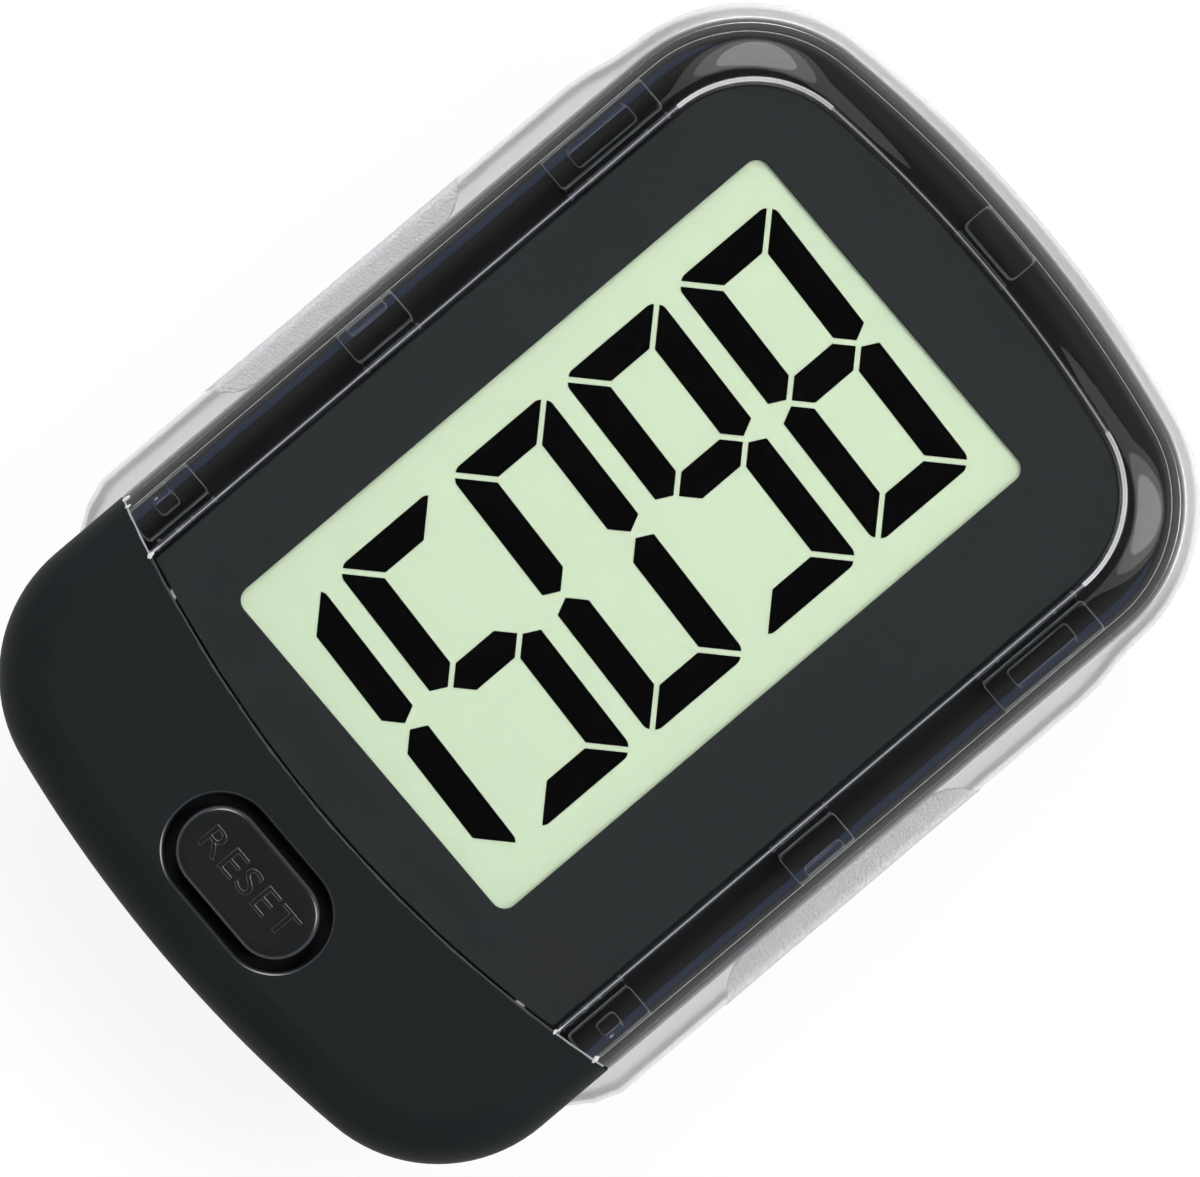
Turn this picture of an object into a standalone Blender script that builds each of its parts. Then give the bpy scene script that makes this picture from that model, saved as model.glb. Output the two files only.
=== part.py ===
"""Clip-on pedometer: a clear cover and a black cap over a step counter, with a sprung belt clip behind.

The case lies on its clip. X runs across the case, Y towards the clear end, Z out of the display,
and the origin is on the clip's back, under the middle of the case. All lengths are in metres.
"""

import math

import bmesh
import bpy
from mathutils import Matrix, Vector

# Gaps between pieces
SEAT_GAP = 0.0003
FILM_GAP = 0.0001
PIN_CLEARANCE = 0.0001
OVERRUN = 0.001
WELD_DISTANCE = 0.000004

# Plan of the case
OVERALL_LENGTH = 0.0574
BODY_WIDTH = 0.0376
TOP_BAND = 0.0008
TOP_BOW = 0.067
TOP_CORNER = 0.0082
BOTTOM_BOW = 0.073
BOTTOM_CORNER = 0.008
COVER_WALL = 0.001
CORNER_STEPS = 7
BOW_STEPS = 8

# Side grips of the rear shell
SHELL_WIDTH = 0.0405
SHOULDER_WIDTH = 0.0393
SHELL_TOP_CORNER = 0.009
FLARE_LENGTH = 0.0038
GRIP_FOOT_MARGIN = 0.0129
TAPER_LENGTH = 0.0034
SHELL_INSET = 0.0002
EASE_STEPS = 5

# Heights, from the back of the clip upwards
CLIP_PLATE = 0.0018
BELT_GAP = 0.0048
SHELL_FLOOR = 0.0012
SHELL_HEIGHT = 0.006
SHELL_BACK_ROUND = 0.0018
CONTACT_SPACE = 0.0009
BOARD_THICKNESS = 0.0008
COMPONENT_SPACE = 0.0005
FRAME_PLATE = 0.0008
REFLECTOR_THICKNESS = 0.00015
GLASS_THICKNESS = 0.0005
SEGMENT_FILM = 0.0001
SEGMENT_RELIEF = 0.00005
MASK_THICKNESS = 0.00025
LENS_THICKNESS = 0.0011
RIM_HEIGHT = 0.0005
RIM_ROUND = 0.0022
RIM_ROUND_STEPS = 4

# Lens panel and the seam between cover and cap
PANEL_WIDTH = 0.0313
PANEL_MARGIN = 0.00295
PANEL_BOW = 0.075
PANEL_CORNER = 0.0059
CAP_LENGTH = 0.0107
SEAM_BOW = 0.067
SEAM_STEPS = 12

# Display
WINDOW_TOP_MARGIN = 0.005
WINDOW_FOOT_MARGIN = 0.0036
WINDOW_WIDTH = 0.02075
WINDOW_CORNER = 0.0007
DISPLAY_X = -0.0009
GLASS_END_BORDER = 0.0012
FRONT_GLASS_WIDTH = 0.0254
CONTACT_LEDGE = 0.0015
STRIP_WIDTH = 0.001
STRIP_END = 0.0054

# Digits, read with the clear end to the right
DIGIT_HEIGHT = 0.01655
DIGIT_PITCH_SHARE = 0.2155
DIGIT_SPACE = 0.0011
DIGIT_STROKE = 0.0017
DIGIT_ROUND = 0.0005
SEGMENT_GAP = 0.00028
DIGITS_X = -0.0008
DIGITS_SHIFT = 0.00223
DIGIT_SLANT_SHARE = 0.044
READING = "15098"
ROUND_STEPS = 2

# Reset button
BUTTON_LENGTH = 0.00875
BUTTON_WIDTH = 0.0045
BUTTON_CORNER = 0.0022
BUTTON_GROOVE = 0.00055
BUTTON_MARGIN = 0.00565
BUTTON_PROUD = 0.00025
BUTTON_EDGE = 0.0003
BUTTON_FLANGE = 0.0008
FLANGE_LIP = 0.0006
PAD_RADIUS = 0.0024
PAD_WALL = 0.0006

# Inner frame
FRAME_GAP = 0.0003
SKIRT_WALL = 0.0012
TOWER_GAP = 0.0003
FLANGE_THICKNESS = 0.0008
SEAL_GAP = 0.00005
SIDE_WALL_HEIGHT = 0.0024
BOSS_RADIUS = 0.0019
POST_RADIUS = 0.0013

# Snap hooks inside the cover
HOOK_WIDTH = 0.0018
UPPER_HOOK_MARGIN = 0.01005
UPPER_HOOK_LENGTH = 0.00655
MIDDLE_HOOK_FOOT = 0.0021
MIDDLE_HOOK_LENGTH = 0.0036
LOWER_HOOK_MARGIN = 0.0021
LOWER_HOOK_LENGTH = 0.004
END_HOOK_WIDTH = 0.0037
END_HOOK_DEPTH = 0.0015

# Circuit board and what is soldered to it
BOARD_WIDTH = 0.0272
BOARD_TOP_MARGIN = 0.0099
BOARD_SHOULDER_MARGIN = 0.0122
BOARD_TONGUE_WIDTH = 0.018
BOARD_FOOT_MARGIN = 0.003
BOARD_CORNER = 0.0008
SOLDER_GAP = 0.0001
BLOB_X = -0.0042
BLOB_RADIUS_SHARE = 0.25
BLOB_HEIGHT = 0.0012
BLOB_SHARE = 0.52
SENSOR_SIZE = (0.003, 0.003, 0.001)
SENSOR_COLUMN = 0.0049
SENSOR_SHARE = 0.58
CRYSTAL_RADIUS = 0.001
CRYSTAL_LENGTH = 0.006
CRYSTAL_X = 0.0096
CRYSTAL_SHARE = 0.3
CHIP_SIZE = (0.002, 0.00125, 0.0008)
LEFT_COLUMN = 0.0013
MIDDLE_COLUMN = 0.0021
TOP_CHIP_SHIFT = 0.0005
LEFT_CHIP_SHARES = {"resistor_left": 0.36, "capacitor_left": 0.6}
MIDDLE_CHIP_SHARES = {"capacitor_middle": 0.45, "resistor_top": 0.87}
TOP_CHIP_SHARE = 0.87

# Coin cell, its holder and contacts
CELL_RADIUS = 0.01
CELL_THICKNESS = 0.0032
CELL_MARGIN = 0.0211
CELL_LID_RADIUS = 0.0088
CELL_STEP = 0.0004
CELL_EDGE = 0.0003
HOLDER_WIDTH = 0.0268
HOLDER_LENGTH = 0.0226
HOLDER_CORNER = 0.003
CONTACT_THICKNESS = 0.0002
PLUS_CONTACT_WIDTH = 0.0036
PLUS_CONTACT_FOOT = 0.0024
MINUS_CONTACT_WIDTH = 0.003
MINUS_CONTACT_LENGTH = 0.011

# Battery door
DOOR_WIDTH = 0.0226
DOOR_TOP_MARGIN = 0.0018
DOOR_TONGUE = 0.0008
DOOR_CORNER = 0.0015
DOOR_GRIP_WIDTH = 0.0108
DOOR_GRIP_MARGIN = 0.0065
DOOR_GRIP_GROOVE = 0.0006
DOOR_GRIP_PITCH = 0.0013
DOOR_GRIP_DEPTH = 0.0003
DOOR_GRIP_COUNT = 4

# Screws
SCREW_X = 0.0145
UPPER_SCREW_MARGIN = 0.0077
LOWER_SCREW_MARGIN = 0.0082
SCREW_RADIUS = 0.0008
SCREW_HEAD_RADIUS = 0.0013
SCREW_HEAD_HEIGHT = 0.0008
SCREW_SINK = 0.0002
SCREW_BOSS_HEIGHT = 0.001
UPPER_SCREW_GRIP = 0.0033
SCREW_CLEARANCE = 0.0002
BOARD_SCREW_X = 0.0118
BOARD_SCREW_MARGIN = 0.0015
BOARD_SCREW_RADIUS = 0.0006
BOARD_SCREW_HEAD_RADIUS = 0.0012
BOARD_SCREW_HEAD_HEIGHT = 0.0006
DRIVE_WIDTH = 0.0003
DRIVE_LENGTH = 0.0014
DRIVE_DEPTH = 0.0004

# Belt clip, its hinge and spring
CLIP_TAB_WIDTH = 0.0176
CLIP_TIP_WIDTH = 0.0144
CLIP_CORNER = 0.004
CLIP_EDGE = 0.0004
CLIP_TOP_MARGIN = 0.0045
CLIP_FOOT_MARGIN = 0.0107
CLIP_LIP = 0.0024
LIP_FOOT = 0.0024
LIP_SLOPE = 0.0012
CLIP_GRIP_GROOVE = 0.0007
CLIP_GRIP_PITCH = 0.0016
CLIP_GRIP_DEPTH = 0.0004
CLIP_GRIP_COUNT = 5
HINGE_MARGIN = 0.0078
PIN_RADIUS = 0.0008
KNUCKLE_RADIUS = 0.0018
KNUCKLE_ROOT = 0.0056
EAR_WIDTH = 0.0021
EAR_SPACING = 0.0084
LUG_WIDTH = 0.0021
SPRING_WIRE = 0.0006
SPRING_RADIUS = 0.0015
SPRING_PITCH = 0.00105
SPRING_TURNS = 4
SPRING_LEG = 0.0052
SPRING_STEPS = 10
ROUND_SIDES = 24
SMALL_SIDES = 16
FILLET_STEPS = 4

# Heights and places worked out from the sizes above
SHELL_BACK_Z = CLIP_PLATE + BELT_GAP
SHELL_FLOOR_Z = SHELL_BACK_Z + SHELL_FLOOR
SHELL_RIM_Z = SHELL_BACK_Z + SHELL_HEIGHT
COVER_BASE_Z = SHELL_RIM_Z + SEAT_GAP
SIDE_WALL_TOP_Z = COVER_BASE_Z + SIDE_WALL_HEIGHT
CELL_Z = SHELL_FLOOR_Z + SEAT_GAP
CELL_TOP_Z = CELL_Z + CELL_THICKNESS
BOARD_Z = CELL_TOP_Z + CONTACT_SPACE
BOARD_TOP_Z = BOARD_Z + BOARD_THICKNESS
PLATE_Z = BOARD_TOP_Z + COMPONENT_SPACE
PLATE_TOP_Z = PLATE_Z + FRAME_PLATE
REFLECTOR_Z = PLATE_TOP_Z + FILM_GAP
REAR_GLASS_Z = REFLECTOR_Z + REFLECTOR_THICKNESS + FILM_GAP
FILM_Z = REAR_GLASS_Z + GLASS_THICKNESS + FILM_GAP
FRONT_GLASS_Z = FILM_Z + SEGMENT_FILM + SEGMENT_RELIEF + FILM_GAP
TOWER_TOP_Z = FRONT_GLASS_Z + GLASS_THICKNESS + FILM_GAP
MASK_Z = TOWER_TOP_Z + FILM_GAP
LENS_Z = MASK_Z + MASK_THICKNESS + FILM_GAP
LENS_TOP_Z = LENS_Z + LENS_THICKNESS
RIM_Z = LENS_TOP_Z + RIM_HEIGHT
BUTTON_TOP_Z = RIM_Z + BUTTON_PROUD
FRAME_FLANGE_Z = COVER_BASE_Z - FLANGE_THICKNESS
BOARD_BACK_Z = BOARD_Z - SOLDER_GAP
HINGE_Z = CLIP_PLATE + BELT_GAP / 2
FRAME_INSET = COVER_WALL + FRAME_GAP

# Places along the case, from its ends and from what each piece sits beside
HALF_LENGTH = OVERALL_LENGTH / 2
COVER_TOP_Y = HALF_LENGTH - TOP_BAND
GRIP_BOTTOM_Y = GRIP_FOOT_MARGIN - HALF_LENGTH
PANEL_TOP_Y = COVER_TOP_Y - PANEL_MARGIN
SEAM_Y = CAP_LENGTH - HALF_LENGTH
WINDOW_LENGTH = PANEL_TOP_Y - SEAM_Y - WINDOW_TOP_MARGIN - WINDOW_FOOT_MARGIN
DISPLAY_Y = PANEL_TOP_Y - WINDOW_TOP_MARGIN - WINDOW_LENGTH / 2
FRONT_GLASS_LENGTH = WINDOW_LENGTH + 2 * GLASS_END_BORDER
STRIP_LENGTH = FRONT_GLASS_LENGTH - 2 * STRIP_END
DIGIT_PITCH = WINDOW_LENGTH * DIGIT_PITCH_SHARE
DIGIT_WIDTH = DIGIT_PITCH - DIGIT_SPACE
DIGITS_Y = DISPLAY_Y - DIGITS_SHIFT
BUTTON_Y = BUTTON_MARGIN - HALF_LENGTH
UPPER_HOOK_Y = COVER_TOP_Y - UPPER_HOOK_MARGIN - UPPER_HOOK_LENGTH
LOWER_HOOK_Y = SEAM_Y + LOWER_HOOK_MARGIN
BOARD_TOP_Y = HALF_LENGTH - BOARD_TOP_MARGIN
BOARD_SHOULDER_Y = BOARD_SHOULDER_MARGIN - HALF_LENGTH
BOARD_BOTTOM_Y = BOARD_FOOT_MARGIN - HALF_LENGTH
BOARD_SCREW_Y = BOARD_TOP_Y - BOARD_SCREW_MARGIN
CELL_Y = CELL_MARGIN - HALF_LENGTH
BAY_Y = CELL_Y + HOLDER_LENGTH / 2
BAY_LENGTH = BOARD_TOP_Y - BAY_Y
BLOB_RADIUS = BAY_LENGTH * BLOB_RADIUS_SHARE
DOOR_TOP_Y = CELL_Y + CELL_RADIUS + DOOR_TOP_MARGIN
DOOR_GRIP_Y = DOOR_GRIP_MARGIN - HALF_LENGTH
UPPER_SCREW_Y = HALF_LENGTH - UPPER_SCREW_MARGIN
LOWER_SCREW_Y = LOWER_SCREW_MARGIN - HALF_LENGTH
HINGE_Y = DOOR_TOP_Y + HINGE_MARGIN
CLIP_TOP_Y = HALF_LENGTH - CLIP_TOP_MARGIN
CLIP_FOOT_Y = CLIP_FOOT_MARGIN - HALF_LENGTH


# Scene, materials and modelling helpers

def clear_scene():
    """Remove every object, so that the model starts from an empty scene."""
    for old in list(bpy.data.objects):
        bpy.data.objects.remove(old, do_unlink=True)


def new_collection(name):
    """Make a collection in the scene."""
    collection = bpy.data.collections.new(name)
    bpy.context.scene.collection.children.link(collection)
    return collection


def make_material(name, colour, roughness, metallic=0.0, alpha=1.0):
    """A Principled material in one colour."""
    material = bpy.data.materials.new(name)
    material.use_nodes = True
    shader = material.node_tree.nodes["Principled BSDF"]
    shader.inputs["Base Color"].default_value = (*colour, 1.0)
    shader.inputs["Roughness"].default_value = roughness
    shader.inputs["Metallic"].default_value = metallic
    shader.inputs["Alpha"].default_value = alpha
    return material


clear_scene()
PARTS = new_collection("clip_on_pedometer")
CUTTERS = new_collection("cutters")

CLEAR = make_material("clear_plastic", (0.82, 0.85, 0.86), 0.08, alpha=0.35)
SHELL_CLEAR = make_material("frosted_plastic", (0.72, 0.73, 0.73), 0.3, alpha=0.6)
BLACK = make_material("black_plastic", (0.016, 0.019, 0.020), 0.42)
MASK_BLACK = make_material("mask_black", (0.022, 0.026, 0.027), 0.25)
BUTTON_BLACK = make_material("button_black", (0.030, 0.033, 0.034), 0.5)
SILICONE = make_material("silicone", (0.55, 0.55, 0.52), 0.6)
GLASS = make_material("display_glass", (0.80, 0.86, 0.78), 0.05, alpha=0.3)
DISPLAY_GREEN = make_material("display_green", (0.665, 0.791, 0.565), 0.5)
SEGMENT_BLACK = make_material("segment_black", (0.004, 0.004, 0.004), 0.4)
RUBBER = make_material("strip_rubber", (0.30, 0.31, 0.33), 0.7)
BOARD_GREEN = make_material("board_green", (0.02, 0.13, 0.05), 0.45)
EPOXY = make_material("epoxy", (0.012, 0.012, 0.013), 0.3)
CHIP_TAN = make_material("chip_tan", (0.42, 0.31, 0.20), 0.5)
CHIP_DARK = make_material("chip_dark", (0.03, 0.03, 0.035), 0.45)
TIN = make_material("tin", (0.72, 0.72, 0.71), 0.3, metallic=1.0)
STEEL = make_material("steel", (0.60, 0.60, 0.61), 0.28, metallic=1.0)
SPRING_STEEL = make_material("spring_steel", (0.50, 0.50, 0.51), 0.35, metallic=1.0)


def move_to(piece, collection):
    """Put an object in one collection only."""
    for other in list(piece.users_collection):
        other.objects.unlink(piece)
    collection.objects.link(piece)
    return piece


def finish(piece, material):
    """Give a part its material, its smooth shading and its place among the parts."""
    piece.data.materials.clear()
    piece.data.materials.append(material)
    piece.data.shade_smooth()
    piece.data.set_sharp_from_angle(angle=math.radians(30))
    return move_to(piece, PARTS)


def as_tool(piece):
    """Mark an object as a cutter or guide, which isn't part of the model."""
    piece.hide_render = True
    piece.display_type = "WIRE"
    return move_to(piece, CUTTERS)


def combine(piece, tool, operation):
    """Add one Boolean step to a piece."""
    step = piece.modifiers.new(tool.name, "BOOLEAN")
    step.operation = operation
    step.solver = "EXACT"
    step.object = as_tool(tool)
    return piece


def cut(piece, tool):
    """Take a tool's space out of a piece."""
    return combine(piece, tool, "DIFFERENCE")


def join(piece, tool):
    """Add a tool's solid to a piece."""
    return combine(piece, tool, "UNION")


def keep(piece, tool):
    """Keep only what a piece shares with a tool."""
    return combine(piece, tool, "INTERSECT")


def mesh_object(name, mesh):
    """Put a mesh in the scene as an object."""
    piece = bpy.data.objects.new(name, mesh)
    bpy.context.scene.collection.objects.link(piece)
    return piece


def from_bmesh(name, shape):
    """Turn a bmesh into an object with outward faces."""
    bmesh.ops.recalc_face_normals(shape, faces=shape.faces)
    mesh = bpy.data.meshes.new(name)
    shape.to_mesh(mesh)
    shape.free()
    return mesh_object(name, mesh)


def curve_to_mesh(name, drawn):
    """Turn a drawn curve into a closed mesh with welded caps."""
    bpy.context.view_layer.update()
    depsgraph = bpy.context.evaluated_depsgraph_get()
    mesh = bpy.data.meshes.new_from_object(drawn.evaluated_get(depsgraph))
    mesh.name = name
    shape = bmesh.new()
    shape.from_mesh(mesh)
    bmesh.ops.remove_doubles(shape, verts=shape.verts, dist=WELD_DISTANCE)
    bmesh.ops.recalc_face_normals(shape, faces=shape.faces)
    shape.to_mesh(mesh)
    shape.free()
    piece = mesh_object(name, mesh)
    piece.matrix_world = drawn.matrix_world
    bpy.data.objects.remove(drawn, do_unlink=True)
    return piece


def prism(name, outline, low, high):
    """A solid of constant plan between two heights."""
    curve = bpy.data.curves.new(name + "_outline", "CURVE")
    curve.dimensions = "2D"
    curve.fill_mode = "BOTH"
    curve.extrude = (high - low) / 2
    spline = curve.splines.new("POLY")
    spline.points.add(len(outline) - 1)
    for point, place in zip(spline.points, outline):
        point.co = (place[0], place[1], 0, 1)
    spline.use_cyclic_u = True
    drawn = bpy.data.objects.new(name + "_outline", curve)
    bpy.context.scene.collection.objects.link(drawn)
    drawn.location.z = (low + high) / 2
    return curve_to_mesh(name, drawn)


def side_prism(name, outline, low, high):
    """A solid of constant side view, drawn in Y and Z, between two places along X."""
    piece = prism(name, outline, low, high)
    along_x = Matrix(((0, 0, 1), (1, 0, 0), (0, 1, 0))).to_4x4()
    piece.data.transform(along_x @ piece.matrix_world)
    piece.matrix_world = Matrix.Identity(4)
    return piece


def box(name, low, high):
    """A block between two opposite corners."""
    shape = bmesh.new()
    bmesh.ops.create_cube(shape, size=1)
    low, high = Vector(low), Vector(high)
    bmesh.ops.scale(shape, vec=high - low, verts=shape.verts)
    piece = from_bmesh(name, shape)
    piece.location = (low + high) / 2
    return piece


def rod(name, centre, radius, low, high, axis="Z", sides=SMALL_SIDES):
    """A round bar or hole along one axis; centre holds its other two coordinates, in X, Y, Z order."""
    shape = bmesh.new()
    bmesh.ops.create_cone(
        shape, cap_ends=True, segments=sides, radius1=radius, radius2=radius, depth=high - low
    )
    piece = from_bmesh(name, shape)
    middle = (low + high) / 2
    if axis == "Z":
        piece.location = (centre[0], centre[1], middle)
    elif axis == "Y":
        piece.location = (centre[0], middle, centre[1])
        piece.rotation_euler.x = math.pi / 2
    else:
        piece.location = (middle, centre[0], centre[1])
        piece.rotation_euler.y = math.pi / 2
    return piece


def turned(name, profile, place, sides=SMALL_SIDES):
    """A turned piece from a profile of radius and height that runs down its outer side."""
    shape = bmesh.new()
    verts = [shape.verts.new((radius, 0, height)) for radius, height in profile]
    for start, end in zip(verts, verts[1:]):
        shape.edges.new((start, end))
    mesh = bpy.data.meshes.new(name)
    shape.to_mesh(mesh)
    shape.free()
    piece = mesh_object(name, mesh)
    piece.location = place
    screw = piece.modifiers.new("turn", "SCREW")
    screw.axis = "Z"
    screw.steps = sides
    screw.render_steps = sides
    screw.use_merge_vertices = True
    screw.merge_threshold = WELD_DISTANCE
    return piece


def bent_strip(name, route, width, thickness, centre_x):
    """A sheet-metal strip that follows a route in Y and Z."""
    shape = bmesh.new()
    half = width / 2
    rows = [
        (shape.verts.new((centre_x - half, y, z)), shape.verts.new((centre_x + half, y, z)))
        for y, z in route
    ]
    for first, second in zip(rows, rows[1:]):
        shape.faces.new((first[0], first[1], second[1], second[0]))
    mesh = bpy.data.meshes.new(name)
    shape.to_mesh(mesh)
    shape.free()
    piece = mesh_object(name, mesh)
    shell = piece.modifiers.new("sheet", "SOLIDIFY")
    shell.thickness = thickness
    shell.offset = 0
    shell.use_even_offset = True
    return piece


def round_edges(piece, height, radius, steps):
    """Round the edges that lie at one world height of a piece."""
    local = height - piece.location.z
    shape = bmesh.new()
    shape.from_mesh(piece.data)
    flat = math.radians(1)
    bmesh.ops.dissolve_limit(shape, angle_limit=flat, verts=shape.verts, edges=shape.edges)
    edges = [
        edge
        for edge in shape.edges
        if all(abs(vert.co.z - local) < FILM_GAP / 2 for vert in edge.verts)
    ]
    bmesh.ops.bevel(
        shape, geom=edges, offset=radius, segments=steps, profile=0.5, affect="EDGES", clamp_overlap=True
    )
    shape.to_mesh(piece.data)
    shape.free()
    return piece


def set_origin(piece, place):
    """Move a piece's origin to a place and leave its shape where it is."""
    bpy.context.view_layer.update()
    place = Vector(place)
    piece.data.transform(Matrix.Translation(-place) @ piece.matrix_world)
    piece.matrix_world = Matrix.Translation(place)
    return piece


# Outlines

def arc(centre, radius, start, end, steps):
    """Points along an arc, both ends included."""
    angles = [start + (end - start) * step / steps for step in range(steps + 1)]
    return [(centre[0] + radius * math.cos(a), centre[1] + radius * math.sin(a)) for a in angles]


def bowed_end(half_width, reach, bow, corner):
    """A case end that bows outwards to reach, with round corners, from its right side to its left."""
    corner_x = half_width - corner
    bow_y = reach - bow
    corner_y = bow_y + math.sqrt((bow - corner) ** 2 - corner_x**2)
    meet = math.atan2(corner_y - bow_y, corner_x)
    right = arc((corner_x, corner_y), corner, 0, meet, CORNER_STEPS)
    middle = arc((0, bow_y), bow, meet, math.pi - meet, BOW_STEPS)
    left = arc((-corner_x, corner_y), corner, math.pi - meet, math.pi, CORNER_STEPS)
    return right + middle[1:-1] + left


def below(points):
    """The same points turned to the other end of the case."""
    return [(-x, -y) for x, y in points]


def body_outline(inset):
    """Plan of the cover and cap, drawn in by an inset."""
    half = BODY_WIDTH / 2 - inset
    top = bowed_end(half, COVER_TOP_Y - inset, TOP_BOW - inset, TOP_CORNER - inset)
    bottom = bowed_end(half, HALF_LENGTH - inset, BOTTOM_BOW - inset, BOTTOM_CORNER - inset)
    return top + below(bottom)


def eased(start, end):
    """Points of a smooth S between two places, running mostly along Y, both ends left out."""
    points = []
    for step in range(1, EASE_STEPS):
        share = step / EASE_STEPS
        blend = (1 - math.cos(math.pi * share)) / 2
        x = start[0] + (end[0] - start[0]) * blend
        y = start[1] + (end[1] - start[1]) * share
        points.append((x, y))
    return points


def shell_outline():
    """Plan of the rear shell: a thin band round the top, wide grips, and a tapered foot behind the cap."""
    top = bowed_end(SHOULDER_WIDTH / 2, HALF_LENGTH, TOP_BOW + TOP_BAND, SHELL_TOP_CORNER)
    foot_half = BODY_WIDTH / 2 - SHELL_INSET
    foot_corner = BOTTOM_CORNER - SHELL_INSET
    foot = below(bowed_end(foot_half, HALF_LENGTH - SHELL_INSET, BOTTOM_BOW - SHELL_INSET, foot_corner))
    shoulder = top[-1]
    grip_half = SHELL_WIDTH / 2
    grip_top = (-grip_half, shoulder[1] - FLARE_LENGTH)
    grip_bottom = (-grip_half, GRIP_BOTTOM_Y)
    taper_end = (-foot_half, GRIP_BOTTOM_Y - TAPER_LENGTH)
    left = [
        *eased(shoulder, grip_top),
        grip_top,
        grip_bottom,
        *eased(grip_bottom, taper_end),
        taper_end,
    ]
    right = [(-x, y) for x, y in reversed(left)]
    return top + left + foot + right


def seam(half_width, shift):
    """The arc where cover and cap meet, from left to right, moved up by a shift."""
    spread = math.asin(half_width / SEAM_BOW)
    middle = -math.pi / 2
    centre = (0, SEAM_BOW + SEAM_Y + shift)
    return arc(centre, SEAM_BOW, middle - spread, middle + spread, SEAM_STEPS)


def panel_outline(inset, seam_shift):
    """Plan of the flat lens panel, drawn in by an inset, with its lower edge a shift above the seam."""
    half = PANEL_WIDTH / 2 - inset
    top = bowed_end(half, PANEL_TOP_Y - inset, PANEL_BOW - inset, PANEL_CORNER - inset)
    return top + seam(half, seam_shift)


def cap_region(shift):
    """A plan that holds everything on the cap's side of the seam."""
    half = SHELL_WIDTH / 2 + OVERRUN
    foot = -HALF_LENGTH - OVERRUN
    edge = seam(half, shift)
    return [(-half, foot), (half, foot)] + edge[::-1]


def filleted(corners, radius, steps=FILLET_STEPS):
    """A closed polygon with each corner rounded."""
    outline = []
    for index, corner in enumerate(corners):
        here = Vector(corner)
        back = (Vector(corners[index - 1]) - here).normalized()
        ahead = (Vector(corners[(index + 1) % len(corners)]) - here).normalized()
        half_angle = back.angle(ahead) / 2
        centre = here + (back + ahead).normalized() * (radius / math.sin(half_angle))
        reach = radius / math.tan(half_angle)
        first = here + back * reach - centre
        last = here + ahead * reach - centre
        start = math.atan2(first.y, first.x)
        sweep = math.atan2(first.x * last.y - first.y * last.x, first.dot(last))
        outline += arc(centre, radius, start, start + sweep, steps)
    return outline


def rectangle(centre, length_x, length_y, radius):
    """A rectangle with round corners about a centre."""
    half_x = length_x / 2
    half_y = length_y / 2
    x, y = centre
    corners = [
        (x + half_x, y - half_y),
        (x + half_x, y + half_y),
        (x - half_x, y + half_y),
        (x - half_x, y - half_y),
    ]
    return filleted(corners, radius)


def knuckle_outline(root_z):
    """Side view of a hinge ear that rises from a root and ends round the pin."""
    half = KNUCKLE_ROOT / 2
    toward = 1 if root_z > HINGE_Z else -1
    tip = arc((HINGE_Y, HINGE_Z), KNUCKLE_RADIUS, 0, -toward * math.pi, ROUND_SIDES // 2)
    return [(HINGE_Y - half, root_z), (HINGE_Y + half, root_z)] + tip


# Rear shell

def screw_places():
    """Plan places of the four case screws, each with the name of its corner."""
    return {
        "upper_left": (-SCREW_X, UPPER_SCREW_Y),
        "upper_right": (SCREW_X, UPPER_SCREW_Y),
        "lower_left": (-SCREW_X, LOWER_SCREW_Y),
        "lower_right": (SCREW_X, LOWER_SCREW_Y),
    }


def shell_block(name):
    """The rear shell's outer form, round at the back."""
    block = prism(name, shell_outline(), SHELL_BACK_Z, SHELL_RIM_Z)
    return round_edges(block, SHELL_BACK_Z, SHELL_BACK_ROUND, FILLET_STEPS)


def door_channel(name, half_width, top, low, high):
    """A straight channel for the battery door, open past the foot of the shell."""
    foot = -HALF_LENGTH - OVERRUN
    corners = [(half_width, foot), (half_width, top), (-half_width, top), (-half_width, foot)]
    return prism(name, filleted(corners, DOOR_CORNER), low, high)


def head_seat_z():
    """Height of the face that a case screw's head pulls against."""
    return SHELL_BACK_Z + SCREW_SINK + SCREW_HEAD_HEIGHT + SEAT_GAP


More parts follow.
